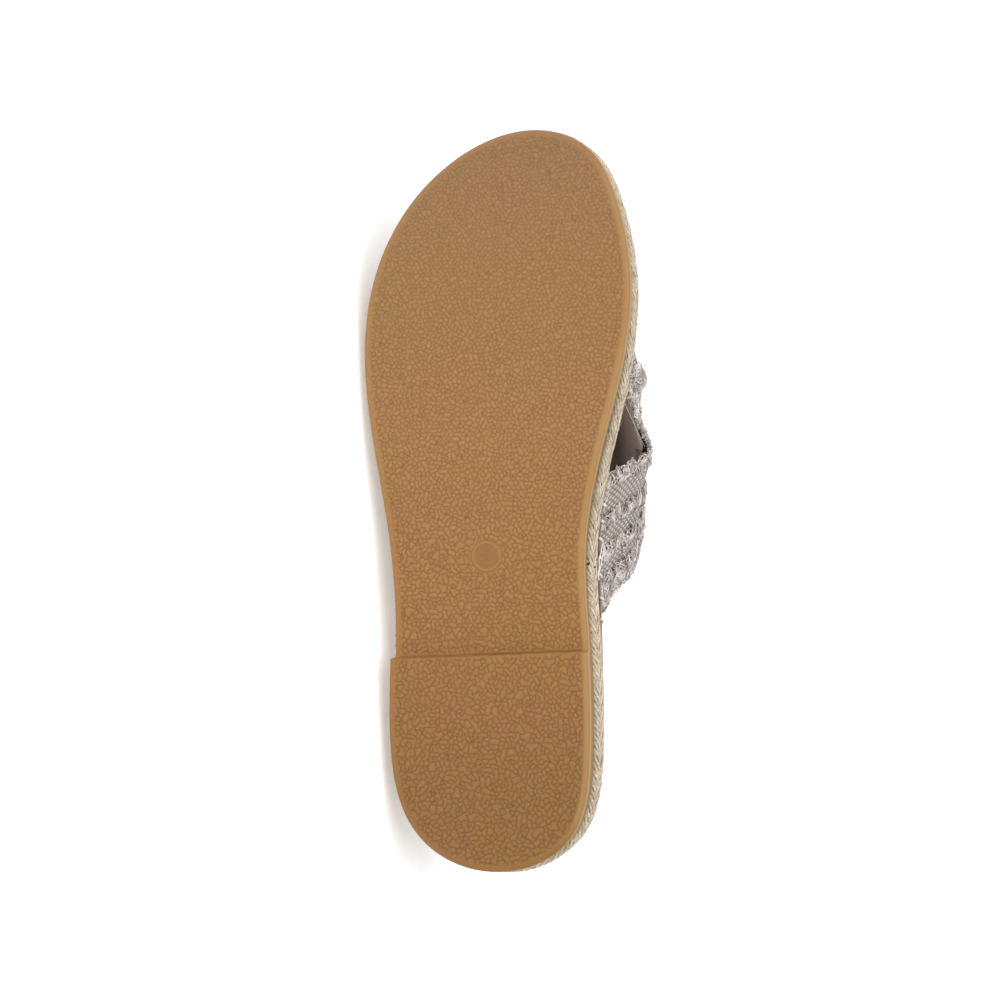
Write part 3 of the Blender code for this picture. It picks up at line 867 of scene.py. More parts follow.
def breast_places():
    """Places in two lines along the top and the foot of the heel breast."""
    lines = []
    for ahead in (0.0, BREAST_DRAFT):
        medial = (side_x(HEEL_BREAST_MEDIAL, -1, -TREAD_EDGE_ROUND), HEEL_BREAST_MEDIAL + ahead)
        lateral = (side_x(HEEL_BREAST_LATERAL, 1, -TREAD_EDGE_ROUND), HEEL_BREAST_LATERAL + ahead)
        share = np.linspace(0.02, 0.98, BREAST_STEPS)[:, None]
        lines.append(np.array(medial) * (1 - share) + np.array(lateral) * share)
    return np.vstack(lines)


def relief(seeds, rim_distance, x, y):
    """Depth of the tread's relief, as a share of a groove's depth."""
    edge = groove_distance(seeds, x, y)
    wall = GROOVE_WALL_HEEL + (GROOVE_WALL_TOE - GROOVE_WALL_HEEL) * smooth(y, *GROOVE_WALL_CHANGE)
    depth = 1 - smooth(edge / wall, GROOVE_FLOOR, 1.0)
    start, end, left = PEBBLE_TOE_FADE
    fade = 1 - (1 - left) * smooth(y, start, end)
    ahead = smooth(np.abs(breast_way(x, y) - BREAST_DRAFT / 2), *PEBBLE_BREAST)
    depth = depth * fade * ahead * smooth(rim_distance, *PEBBLE_BORDER)
    far = ring_reach(x, y)
    inside = 1 - smooth(far, *RING_MOAT)
    on_ring = 1 - smooth(np.abs(far), *RING_LINE)
    return (depth * (1 - inside) + RING_FLOOR * inside) * (1 - on_ring) + RING_TOP * on_ring


def nearest_rim(rim, x, y):
    """Number of the nearest point of the rim to each place of the tread, and its distance."""
    tree = kdtree.KDTree(len(rim))
    for i, point in enumerate(rim):
        tree.insert((point[0], point[1], 0.0), i)
    tree.balance()
    found = [tree.find((px, py, 0.0)) for px, py in zip(x, y)]
    return np.array([spot[1] for spot in found]), np.array([spot[2] for spot in found])


def tread_places(seeds):
    """All places of the tread's mesh inside its rim."""
    places = np.vstack([groove_places(seeds), top_places(seeds)])
    x, y = places.T
    keep = (ring_reach(x, y) < -RING_MOAT[0]) | (ring_reach(x, y) > RING_MOAT[1] + RING_MARGIN)
    keep &= np.abs(breast_way(x, y) - BREAST_DRAFT / 2) > BREAST_MARGIN * BREAST_DRAFT
    places = np.vstack([places[keep], ring_places(), breast_places()])
    x, y = places.T
    return places[np.nan_to_num(rim_reach(x, y)) > RIM_MARGIN]


def rubber_rings():
    """Rings of points round the rubber, from the tread's rim over its rounded edge up its wall."""
    turns = np.linspace(0, np.pi / 2, EDGE_STEPS + 1)
    insets = TREAD_EDGE_ROUND * (1 - np.sin(turns))
    rises = TREAD_EDGE_ROUND * (1 - np.cos(turns))
    rings = edge_rings(insets, rises, lambda y, lateral: -lip_inset(y, lateral), tread)
    low = rings[-1]
    high = sole_ring(lambda y, lateral: -lip_inset(y, lateral), lambda x, y: rubber_top(y))
    return rings + [low + (high - low) * step / WALL_STEPS for step in range(1, WALL_STEPS + 1)]


def make_outsole(material):
    """Moulded rubber: pebbled tread, rounded lower edge, plain side wall."""
    rings = rubber_rings()
    rim = rings[0]
    count = len(rim)
    seeds = pebble_seeds()
    places, triangles = fill_ring([rim[:, :2]], tread_places(seeds))
    x, y = places[count:].T
    nearest, reach = nearest_rim(rim, x, y)
    depth = relief(seeds, reach, x, y)
    inner = np.column_stack([x, y, tread(x, y) + GROOVE_DEPTH * depth])
    points = np.vstack([rim, inner] + rings[1:])
    start = count + len(inner)
    faces = [tuple(face[::-1]) for face in triangles]
    wall = grid_faces(len(rings), count, closed_columns=True)
    wall = np.where(wall >= count, wall - count + start, wall)
    faces.extend(wall.tolist())
    faces.extend(span_faces(len(points) - count, count))
    piece = new_piece("outsole_rubber", points, faces, material, "outsole")
    piece.data.set_sharp_from_angle(angle=np.radians(RUBBER_SHARP_DEGREES))
    # Painted shade: the grooves darken with their depth, the pebble tops get a painted highlight, and a
    # painted shadow lies along the foot of the heel breast
    nook_shade = hump(breast_way(x, y), BREAST_DRAFT, BREAST_SHADE)
    set_values(piece, "groove", np.maximum(depth, nook_shade), count)
    # Painted highlight along the medial rounded edge, on the side that faces the light
    medial = smooth(-np.sin(ring_angles()), *EDGE_HIGHLIGHT_FADE)
    medial = medial * (1 - EDGE_HIGHLIGHT_TOE_LOSS * smooth(rim[:, 1], *EDGE_HIGHLIGHT_TOE_FADE))
    edge = np.concatenate([medial, medial[nearest] * (1 - smooth(reach, 0.0, EDGE_HIGHLIGHT_REACH))])
    set_values(piece, "edge", np.append(edge, np.tile(medial, len(rings) - 1)))
    # Painted highlight: the top of the rounded edge and the side wall are painted lighter
    set_values(piece, "wall", np.ones((WALL_STEPS + 2) * count), start + (EDGE_STEPS - 2) * count)
    rise = smooth(np.arange(1, WALL_STEPS + 1) / WALL_STEPS, *WALL_SHADE_RISE)
    behind = 1 - smooth(rings[-1][:, 1], *WALL_SHADE_END)
    set_values(piece, "shade", np.outer(rise, behind).ravel(), len(points) - WALL_STEPS * count)


# Rope

def rope_line():
    """Turn angles and run lengths at even steps round the sole."""
    fine = np.linspace(0, 2 * np.pi, OUTLINE_STEPS + 1)
    x, y = outline_points(fine, 0.0)
    run = np.concatenate([[0.0], np.cumsum(np.hypot(np.diff(x), np.diff(y)))])
    length = run[-1]
    count = int(length / ROPE_STEP)
    places = np.linspace(0, length, count, endpoint=False)
    return np.interp(places, run, fine), places, length


def rope_centre(angles, row):
    """Offset and height of a rope row's middle, and its radius, at turn angles of the outline."""
    y = outline_points(angles, 0.0)[1]
    radius = rope_radius(y)
    offset = rope_out(y, angles < np.pi) + ROPE_BULGE / 2 - radius
    return offset, rope_base(y) + (2 * row + 1) * radius, radius


def ease_sides(values):
    """Blend a closed run of values over its short jumps at heel and toe."""
    half = 20
    window = np.hanning(2 * half + 1)
    wrapped = np.concatenate([values[-half:], values, values[:half]])
    return np.convolve(wrapped, window / window.sum(), mode="valid")


def make_rope_row(row, material):
    """One row of twisted rope round the sole; the upper one is twisted the other way and less."""
    angles, run, length = rope_line()
    offset, height, radius = rope_centre(angles, row)
    offset = ease_sides(offset)
    turns = round(length / ROPE_PITCHES[row])
    phi = 2 * np.pi * np.arange(ROPE_SIDES) / ROPE_SIDES
    slip = sum(size * waves(run, period, seed + row) for size, period, seed in ROPE_SLIPS)
    twist = 2 * np.pi * turns * run / length + slip * np.sin(np.pi * run / length)
    strand = (phi[None, :] - twist[:, None]) * ROPE_STRANDS / 2
    uneven = 1 + ROPE_UNEVEN * waves(run, ROPE_UNEVEN_PERIOD, 21 + row) * np.sin(np.pi * run / length)
    lobe = 1 - ROPE_STRAND_DEPTH * (1 - np.abs(np.cos(strand)) ** STRAND_ROUND)
    reach = radius[:, None] * uneven[:, None] * lobe
    x, y = outline_points(angles[:, None], offset[:, None] + reach * np.cos(phi))
    z = height[:, None] + reach * np.sin(phi) * ROPE_TALL
    points = np.stack([x, y, z], axis=-1).reshape(-1, 3)
    faces = grid_faces(len(run), ROPE_SIDES, closed_rows=True, closed_columns=True)[:, ::-1]
    piece = new_piece(f"rope_row_{row + 1}", points, faces.tolist(), material, "midsole")
    i, j = faces // ROPE_SIDES, faces % ROPE_SIDES
    wrap_i = (i == 0) & (i.max(axis=1, keepdims=True) == len(run) - 1)
    wrap_j = (j == 0) & (j.max(axis=1, keepdims=True) == ROPE_SIDES - 1)
    along = np.where(wrap_i, length, run[i])
    around = phi[j] + 2 * np.pi * wrap_j - np.where(wrap_i, 2 * np.pi * turns, twist[i])
    set_uv(piece, np.stack([around * ROPE_STRANDS / (2 * np.pi), along], axis=-1))
    set_values(piece, "strand", np.abs(np.cos(strand)).ravel())
    # Painted shade on the rope's underside
    nook_shade = np.clip(-np.sin(phi), 0, 1) ** NOOK_SHADE_SHARP * NOOK_SHADE_SHARES[row]
    set_values(piece, "nook_shade", np.tile(nook_shade, len(run)))


def make_rope_core(material):
    """Coiled rope inside the rows, which closes the sole from rubber to footbed."""
    rings = []
    for share in (0.0, 0.5, 1.0):
        rings.append(sole_ring(
            lambda y, lateral: rope_out(y, lateral) - rope_radius(y),
            lambda x, y: rope_base(y) + share * (rope_top(y) - rope_base(y))))
    count = len(rings[0])
    faces = grid_faces(len(rings), count, closed_columns=True).tolist()
    faces.extend(face[::-1] for face in span_faces(0, count))
    faces.extend(span_faces((len(rings) - 1) * count, count))
    new_piece("rope_core", np.vstack(rings), faces, material, "midsole")


def rope_paths(angles, rows, turn, reach, swing, t):
    """Paths on the rope: each starts at a turn angle of the outline and swings along the rope."""
    paths = np.zeros((len(angles), len(t), 3))
    for row in range(ROPE_ROWS):
        own = rows == row
        offset, height, radius = rope_centre(angles[own], row)
        out = radius[:, None] + reach[own]
        place = angles[own][:, None] + swing[own] * t
        x, y = outline_points(place, offset[:, None] + out * np.cos(turn[own]))
        paths[own] = np.stack([x, y, height[:, None] + out * np.sin(turn[own])], axis=-1)
    return paths


def make_fibres(material):
    """Stray jute hairs that stand off the rope."""
    rng = np.random.default_rng(31)
    t = np.linspace(0, 1, FIBRE_STEPS)
    angles = rng.uniform(0, 2 * np.pi, FIBRE_COUNT)
    rows = np.arange(FIBRE_COUNT) % ROPE_ROWS
    lift = draws(rng, FIBRE_LIFT, FIBRE_COUNT)
    bend = draws(rng, FIBRE_BEND, FIBRE_COUNT)
    turn = draws(rng, FIBRE_TURN, FIBRE_COUNT) + bend * t
    swing = draws(rng, FIBRE_SWING, FIBRE_COUNT) / TURN_LENGTH
    paths = rope_paths(angles, rows, turn, lift * t**1.5 - 0.15, swing, t)
    tube_piece("rope_fibres", paths, FIBRE_RADIUS * (1 - 0.6 * t), 3, material)


def make_chips(material):
    """Dark bits of bark between the strands of the rope, and one dark notch on the medial side."""
    rng = np.random.default_rng(37)
    t = np.linspace(0, 1, CHIP_STEPS)
    notch = 2 * np.pi - half_turn(NOTCH_PLACE)
    angles = np.append(rng.uniform(0, 2 * np.pi, CHIP_COUNT - 2), notch + np.array(NOTCH_TURNS))
    rows = np.append(np.arange(CHIP_COUNT - 2) % ROPE_ROWS, [0, 0])
    start = np.append(rng.uniform(*CHIP_START, CHIP_COUNT - 2), NOTCH_STARTS)
    turn = start[:, None] + draws(rng, CHIP_TURN, CHIP_COUNT) * t
    swing = draws(rng, CHIP_SWING, CHIP_COUNT) / TURN_LENGTH
    swing[-2:] = NOTCH_SWING / TURN_LENGTH
    paths = rope_paths(angles, rows, turn, np.full((CHIP_COUNT, CHIP_STEPS), -CHIP_SUNK), swing, t)
    thick = CHIP_RADIUS * draws(rng, CHIP_THICK, CHIP_COUNT)
    thick[-2:] = NOTCH_RADIUS
    tube_piece("rope_chips", paths, thick * (1 - 0.5 * np.abs(2 * t - 1)), 5, material)


# Footbed

def slot_loop(side, rear, front):
    """Loop of places round one strap slot, seen from above and clockwise."""
    inner = -INSOLE_INSET - STRAP_FOOT_INSET - SLOT_CLEARANCE
    outer = -INSOLE_INSET - STRAP_FOOT_INSET + STRAP_WALL + SLOT_CLEARANCE
    places = np.linspace(rear - SLOT_END_CLEARANCE, front + SLOT_END_CLEARANCE, SLOT_STEPS)
    near = np.column_stack([side_x(places, side, inner), places])
    far = np.column_stack([side_x(places, side, outer), places])
    loop = np.vstack([near, far[::-1]])
    return loop if side > 0 else loop[::-1]


def rim_out(y, lateral):
    """How far the footbed's soft rim stands out past the outline."""
    middle, reach, stand = RIM_WAIST
    waist = np.where(lateral, 0.0, stand * hump(y, middle, reach))
    return RIM_SHARE * np.maximum(rope_out(y, lateral), 0) - INSOLE_INSET + waist


def make_footbed(material):
    """Brushed footbed with a soft rim and a slot for each strap foot."""
    rings = [sole_ring(rim_out, lambda x, y: rope_top(y) + SEAT_GAP)]
    turns = np.linspace(0, np.pi / 2, RIM_STEPS + 1)
    insets = RIM_SOFT * (1 - np.cos(turns))
    rises = -RIM_SOFT * (1 - np.sin(turns))
    rings += edge_rings(insets, rises, rim_out, lambda x, y: footbed(y))
    front, rear = STRAP[0], STRAP[-1]
    loops = [slot_loop(side, row[2], row[1]) for side in (-1, 1) for row in (front, rear)]
    rim = rings[-1]
    count = len(rim)
    x, y = np.meshgrid(
        np.arange(-SOLE_HALF_WIDTH, SOLE_HALF_WIDTH, FOOTBED_STEP), np.arange(2, SOLE_LENGTH, FOOTBED_STEP))
    x, y = x.ravel(), y.ravel()
    inside = (x > side_x(y, -1, -FOOTBED_MARGIN)) & (x < side_x(y, 1, -FOOTBED_MARGIN))
    places, triangles = fill_ring([rim[:, :2]] + loops, np.column_stack([x[inside], y[inside]]))
    inner = places[count:]
    top = np.column_stack([inner, footbed(inner[:, 1])])
    bottom = np.column_stack([inner, rope_top(inner[:, 1]) + SEAT_GAP])
    points = np.vstack(rings + [top, bottom])
    top_start = len(rings) * count
    bottom_start = top_start + len(top)
    faces = grid_faces(len(rings), count, closed_columns=True).tolist()
    for triangle in triangles:
        over = [k - count + top_start for k in triangle]
        under = [k - count + bottom_start if k >= count else k for k in triangle]
        faces.append(over)
        faces.append(under[::-1])
    low = 0
    for loop in loops:
        size = len(loop)
        for i in range(size):
            j = (i + 1) % size
            upper = (top_start + low + i, top_start + low + j)
            lower = (bottom_start + low + j, bottom_start + low + i)
            faces.append(upper[::-1] + lower[::-1])
        low += size
    piece = new_piece("footbed", points, faces, material, "insole")
    piece.data.set_sharp_from_angle(angle=np.radians(FOOTBED_SHARP_DEGREES))


# Straps

def strap_run(front_side):
    """Places across the last under a strap's middle line, and the run from its medial foot to each."""
    across = np.linspace(0, 1, STRAP_STEPS)
    front, rear = strap_edges(across, front_side)
    line = last_point((front + rear) / 2, across)
    run = np.concatenate([[0.0], np.cumsum(np.linalg.norm(np.diff(line, axis=0), axis=1))])
    return across, run


def strap_length(front_side):
    return strap_run(front_side)[1][-1]


def strap_across(run, front_side):
    """Place across the last at a run along a strap."""
    known_across, known_run = strap_run(front_side)
    return np.interp(run, known_run, known_across)


def strap_point(run, share, height, front_side):
    """Point of a strap: run along it, share of its width from the front edge, height over the last."""
    across = strap_across(run, front_side)
    front, rear = strap_edges(across, front_side)
    y = front + (rear - front) * (share - pull(run, share, front_side))
    height = height + bulge(run, share, front_side)
    if front_side > 0:
        height = height + over_lift(y, across)
    point = last_point(y, across) + height[..., None] * last_normal(y, across)
    sunk = np.maximum(-run, run - strap_length(front_side))
    point[..., 2] -= np.maximum(sunk, 0)
    return point


def pull(run, share, front_side):
    """Share of a strap's width by which a place of it is drawn forward."""
    drawn = np.zeros_like(run)
    for strap, still, place, reach, amount in PULLS:
        if strap == front_side:
            drawn += amount * (share - still) * hump(run, place, reach)
    return drawn


def bulge(run, share, front_side):
    """How far a whole strap stands out from the last, or is drawn in."""
    lift = np.zeros_like(run)
    for strap, place, reach, middle, width, height in BULGES:
        if strap == front_side:
            lift += height * hump(run, place, reach) * hump(share, middle, width)
    return lift * np.clip(run / BULGE_RISE, 0, 1)


def over_lift(y, across):
    """How far the second strap is raised where the first passes under it."""
    front, rear = strap_edges(across, -1)
    ahead = np.clip(1 - (y - front) / CROSSING_RAMP, 0, 1)
    behind = np.clip(1 - (rear - y) / CROSSING_RAMP, 0, 1)
    return OVER_LIFT * smooth(ahead * behind, 0, 1)


def foot_taper(run, length):
    """0 at a strap's feet, 1 over most of its run."""
    return np.clip(np.minimum(run, length - run) / (FOOT_TAPER * length), 0, 1)


def strap_width(run, front_side):
    """Width of a strap in millimetres at a place of its run."""
    front, rear = strap_edges(strap_across(run, front_side), front_side)
    return front - rear


def strap_grid(step, columns, front_side):
    """Places along a strap in even steps, from inside one foot to inside the other, by given columns."""
    length = strap_length(front_side)
    run = np.linspace(-FOOT_DEPTH, length + FOOT_DEPTH, int(length / step))
    return np.meshgrid(run, columns, indexing="ij")


def both_faces(upper, lower):
    """Values of a sheet's upper face, and beyond its edge those of its lower face."""
    return np.concatenate([upper, lower[:, ::-1]], axis=1)


def sheet_piece(name, upper, lower, uv, material):
    """Thin closed sheet between two grids of points."""
    rows, columns = upper.shape[:2]
    points = both_faces(upper, lower)
    around = 2 * columns
    faces = grid_faces(rows, around, closed_columns=True)
    ends = []
    for low in (0, (rows - 1) * around):
        top = low + np.arange(columns - 1)
        under = low + around - 1 - np.arange(columns - 1)
        cap = np.column_stack([top, under, under - 1, top + 1])
        ends.append(cap if low == 0 else cap[:, ::-1])
    faces = np.vstack([faces] + ends)
    piece = new_piece(name, points.reshape(-1, 3), faces.tolist(), material, "upper")
    set_uv(piece, both_faces(uv, uv).reshape(-1, 2)[faces])
    return piece


def make_lining(name, front_side, material):
    """Smooth inner layer of a strap."""
    share = np.linspace(LINING_MARGIN, 1 - LINING_MARGIN, LINING_COLUMNS)
    run, share = strap_grid(LINING_STEP, share, front_side)
    upper = strap_point(run, share, np.full_like(run, LINING), front_side)
    lower = strap_point(run, share, np.zeros_like(run), front_side)
    uv = np.stack([run, share * strap_width(run, front_side)], axis=-1)
    sheet_piece(f"lining_{name}", upper, lower, uv, material)


def strip_span(strip):
    """Share of the strap's width where a strip starts, and where the next one covers it."""
    ends = STRIP_STARTS + (1.0,)
    return ends[strip], ends[strip + 1]


def strip_height(run, depth, strip, front_side):
    """Top of a strip over the last; depth is 0 at its free edge and 1 where the next covers it."""
    length = strap_length(front_side)
    taper = foot_taper(run, length)
    seed = 40 + 10 * strip + 3 * front_side
    step = np.where(depth < 1, 1 - 0.8 * depth - 0.2 * depth**2, 0.0)
    curl = EDGE_CURL * (0.5 + 0.5 * waves(run, EDGE_CURL_PERIOD, seed))
    curl = np.maximum(curl * np.clip(1 - 4 * depth, 0, 1) ** 2, -0.1)
    wave = np.maximum(FLUTTER * waves(run, FLUTTER_PERIOD, seed + 1) * np.clip(1 - depth, 0, 1), -0.3)
    raised = STRIP_STEP * step * (STRIP_AT_FOOT + (1 - STRIP_AT_FOOT) * taper)
    loose = curl + wave + crease_lift(run, depth, strip, front_side)
    pressed = PRESSED_LATERAL + (1 - PRESSED_LATERAL) * smooth(length - run, *PRESSED_FADE)
    return np.maximum(STRAP_WALL + raised + taper * pressed * loose, LINING + CANVAS)


def crease_lift(run, depth, strip, front_side):
    """Lift of a strip at its main creases."""
    lift = np.zeros_like(run)
    for strap, number, place, reach, spot, height in CREASES:
        if strap == front_side and number == strip:
            lift += height * hump(run, place, reach) * hump(depth, spot, CREASE_WIDTH)
    return lift


def strip_share(run, depth, strip, front_side):
    """Share of the strap's width at a depth of a strip, with the wander of its torn edge."""
    here, after = strip_span(strip)
    length = strap_length(front_side)
    seed = 70 + 10 * strip + 3 * front_side
    wander = EDGE_WANDER * waves(run, EDGE_WANDER_PERIOD, seed) * foot_taper(run, length)
    wander = wander / strap_width(run, front_side) * np.clip(1 - depth, 0, 1)
    return here + (after - here) * depth + wander


def make_strip(name, strip, front_side, material):
    """One strip of canvas, from its torn free edge back under the next strip."""
    last = strip + 1 == len(STRIP_STARTS)
    depth = np.linspace(0, 1.0 if last else 1 + STRIP_TUCK, STRIP_COLUMNS)
    run, depth = strap_grid(CANVAS_STEP, depth, front_side)
    share = strip_share(run, depth, strip, front_side)
    top = strip_height(run, depth, strip, front_side)
    upper = strap_point(run, share, top, front_side)
    lower = strap_point(run, share, top - CANVAS, front_side)
    uv = np.stack([run, share * strap_width(run, front_side)], axis=-1)
    raised = above_floor(upper) - upper
    piece = sheet_piece(f"canvas_{name}_{strip + 1}", upper + raised, lower + raised, uv, material)
    # Painted shade along the torn edge, where the next strip covers the canvas and near the strap's feet
    canvas_shade = hump(depth, 0.0, TORN_EDGE_SHADE) + smooth(depth, *COVERED_SHADE)
    canvas_shade = np.clip(canvas_shade + FOOT_SHADE * (1 - smooth(run, *FOOT_SHADE_FADE)), 0, 1)
    set_values(piece, "canvas_shade", both_faces(canvas_shade, canvas_shade).ravel())


def beyond_edge(run, out, lift, strip, rear, front_side):
    """Points past a torn edge, or behind it where out is negative, lifted off the cloth."""
    width = strap_width(run, front_side)
    here, after = strip_span(strip)
    behind = np.clip(-out / (width * (after - here)), 0, 1)
    depth = 1 - behind if rear else behind
    way = 1.0 if rear else -1.0
    share = strip_share(run, depth, strip, front_side) + way * np.maximum(out, 0) / width
    height = strip_height(run, depth, strip, front_side) - CANVAS / 2 + lift
    return strap_point(run, share, np.maximum(height, LINING), front_side)


def torn_edges():
    """Every torn edge of a strap: strip number, and whether it is the strap's rear edge."""
    edges = [(strip, False) for strip in range(len(STRIP_STARTS))]
    edges.append((len(STRIP_STARTS) - 1, True))
    return edges


def fray_starts(strip, rear, front_side, rng):
    """Where the loose yarns of one torn edge start along the strap, and how long each one is."""
    length = strap_length(front_side)
    count = int(length / FRAY_PITCH)
    run = rng.uniform(1.0, length - 1.0, count)
    uneven = 0.85 + 0.2 * waves(run, 8.0, 10 + strip + 5 * front_side)
    lengths = FRAY_LENGTH_REAR if rear else FRAY_LENGTHS[strip]
    size = rng.uniform(*lengths, count) * np.clip(uneven, 0.5, 1.2)
    for strap, number, behind, place, reach, yarns, shortest, longest in TUFTS:
        if (strap, number, behind) == (front_side, strip, rear):
            run = np.append(run, place + reach * rng.uniform(-1, 1, yarns))
            size = np.append(size, rng.uniform(shortest, longest, yarns))
    return np.maximum(run, 1.0)[:, None], size[:, None]


def make_fray(name, front_side, material):
    """Loose curly yarn ends along the torn edges of one strap."""
    rng = np.random.default_rng(90 + front_side)
    t = np.linspace(0, 1, FRAY_STEPS)
    paths = []
    for strip, rear in torn_edges():
        run, size = fray_starts(strip, rear, front_side, rng)
        count = len(run)
        lean = rng.normal(0.0, FRAY_LEAN, (count, 1))
        curl = draws(rng, FRAY_CURL, count)
        swirl = 2 * np.pi * draws(rng, FRAY_SWIRLS, count) * t + draws(rng, (0, 2 * np.pi), count)
        hop = draws(rng, FRAY_HOP, count)
        drop = draws(rng, FRAY_DROP, count)
        root = draws(rng, (0.5, FRAY_ROOT_REAR if rear else FRAY_ROOTS[strip]), count)
        along = run + size * (lean * t + curl * t * np.sin(swirl))
        out = size * (t + curl * t * np.cos(1.3 * swirl)) - root
        lift = 0.4 * (1 - t) + hop * np.sin(np.pi * t) - drop * t**2
        lift = lift + 0.5 * size * curl * t * np.cos(swirl)
        paths.append(beyond_edge(along, out, lift, strip, rear, front_side))
    paths = np.concatenate(paths)
    thick = FRAY_RADIUS * draws(rng, FRAY_THICK, len(paths))
    tube_piece(f"fray_{name}", paths, thick * (1 - 0.3 * t), 3, material)


def make_edge_yarns(name, front_side, material):
    """Wavy yarns that have come loose along the torn edges of one strap."""
    rng = np.random.default_rng(120 + front_side)
    length = strap_length(front_side)
    paths = []
    for strip, rear in torn_edges():
        for start in np.arange(3.0, length - 20.0, EDGE_YARN_PITCH):
            begin = start + rng.uniform(*EDGE_YARN_SHIFT)
            run = np.linspace(begin, begin + rng.uniform(*EDGE_YARN_LENGTH), EDGE_YARN_STEPS)
            out = rng.uniform(EDGE_YARN_BACK, EDGE_YARN_OUT_REAR if rear else EDGE_YARN_OUT)
            out = out + 0.5 * waves(run, 4.5, rng.integers(1000))
            lift = rng.uniform(*EDGE_YARN_LIFT) - 0.25 * np.maximum(out, 0)
            lift += 0.3 * waves(run, 3.5, rng.integers(1000))
            paths.append(beyond_edge(run, out, lift, strip, rear, front_side))
    tube_piece(f"edge_yarns_{name}", np.array(paths), FRAY_RADIUS, 3, material)


# Stitches

def make_stitches(material):
    """Overcast stitches over the footbed's rim, along the rear foot of each strap."""
    rng = np.random.default_rng(61)
    t = np.linspace(0, 1, STITCH_STEPS)
    offset = np.interp(t, *STITCH_OUT)
    rise = np.interp(t, *STITCH_RISE)
    rear = STRAP[-1]
    paths = []
    for side in (-1, 1):
        for y in np.arange(rear[2] - 2.0, rear[1] - 8.0, STITCH_PITCH):
            place = y + rng.uniform(-1.4, 1.4) + rng.uniform(1.0, 3.0) * (t - 0.5)
            reach = offset + rim_out(place, side > 0) + rng.uniform(-0.3, 0.1)
            x = side_path(place, side, reach)
            paths.append(np.column_stack([x, place, footbed(place) + rise]))
    tube_piece("stitches", np.array(paths), STITCH_RADIUS, 7, material)


def make_loose_threads(material):
    """Ends of sewing thread that hang along the medial side."""
    t = np.linspace(0, 1, THREAD_STEPS)
    paths = []
    for number, (radius, spots) in enumerate(LOOSE_THREADS):
        own = np.linspace(0, 1, len(spots))
        table = np.column_stack([own, spots])
        y, z, out = (smooth_table(table, column, t) for column in (1, 2, 3))
        out = out + radius * waves(y, 9.0, number)
        x = side_path(y, -1, out)
        paths.append(np.column_stack([x, y, z + radius * waves(y, 7.0, number + 20)]))
    radii = np.array([[radius] for radius, spots in LOOSE_THREADS])
    tube_piece("loose_threads", np.array(paths), radii, 5, material)


# Materials

class Look:
    """A material in the making, with short ways to add the nodes that feed its shader."""

    def __init__(self, name, roughness, specular=0.3, sheen=0.0):
        self.material = bpy.data.materials.new(name)
        self.material.use_nodes = True
        self.tree = self.material.node_tree
        self.inputs = self.tree.nodes["Principled BSDF"].inputs
        self.inputs["Roughness"].default_value = roughness
        self.inputs["Specular IOR Level"].default_value = specular
        self.inputs["Sheen Weight"].default_value = sheen

    def feed(self, socket, source):
        """Feed a socket from another socket, or set it to a plain value."""
        if isinstance(source, bpy.types.NodeSocket):
            self.tree.links.new(source, socket)
        else:
            socket.default_value = source

    def node(self, kind, inputs, **settings):
        """New node with its settings, and with the inputs given by name or number fed."""
        node = self.tree.nodes.new("ShaderNode" + kind)
        for name, value in settings.items():
            setattr(node, name, value)
        for name, source in inputs.items():
            self.feed(node.inputs[name], source)
        return node

    def place(self):
        return self.node("TexCoord", {}).outputs["Object"]

    def flat_place(self, along, across):
        """Flat coordinates of a sheet or rope, stretched by a scale each way."""
        flat = self.node("UVMap", {}, uv_map="flat").outputs["UV"]
        return self.node("Mapping", {"Vector": flat, "Scale": (along, across, 1.0)}).outputs["Vector"]

    def split(self, vector):
        return self.node("SeparateXYZ", {"Vector": vector}).outputs

    def stored(self, name):
        return self.node("Attribute", {}, attribute_name=name).outputs["Fac"]

    def calculate(self, operation, first, second=0.0):
        return self.node("Math", {0: first, 1: second}, operation=operation).outputs[0]

    def noise(self, place, scale, detail=3.0, rough=0.55):
        inputs = {"Vector": place, "Scale": scale, "Detail": detail, "Roughness": rough}
        return self.node("TexNoise", inputs).outputs["Fac"]

    def ramp(self, factor, *stops):
        """Colour along a factor, from (place, colour) stops; a plain number is a grey."""
        node = self.node("ValToRGB", {"Fac": factor})
        elements = node.color_ramp.elements
        while len(elements) < len(stops):
            elements.new(0.5)
        for element, (place, colour) in zip(elements, stops):
            element.position = place
            element.color = (*np.broadcast_to(colour, 3), 1.0)
        return node.outputs["Color"]

    def tone(self, colour, factor, *stops):
        """Colour multiplied by a ramp along a factor."""
        inputs = {0: 1.0, 6: colour, 7: self.ramp(factor, *stops)}
        return self.node("Mix", inputs, data_type="RGBA", blend_type="MULTIPLY").outputs[2]

    def cover(self, colour, factor, share, paint):
        """Colour covered with a plain paint, by a share of a factor."""
        inputs = {0: self.calculate("MULTIPLY", factor, share), 6: colour, 7: (*paint, 1.0)}
        return self.node("Mix", inputs, data_type="RGBA").outputs[2]

    def bump(self, height, distance):
        """Fine relief, over an earlier one if there is one."""
        normal = self.inputs["Normal"]
        inputs = {"Height": height, "Distance": distance, "Strength": 1.0}
        if normal.is_linked:
            inputs["Normal"] = normal.links[0].from_socket
        self.feed(normal, self.node("Bump", inputs).outputs["Normal"])

    def paint(self, colour):
        """The material, in its colour."""
        self.feed(self.inputs["Base Color"], colour)
        return self.material


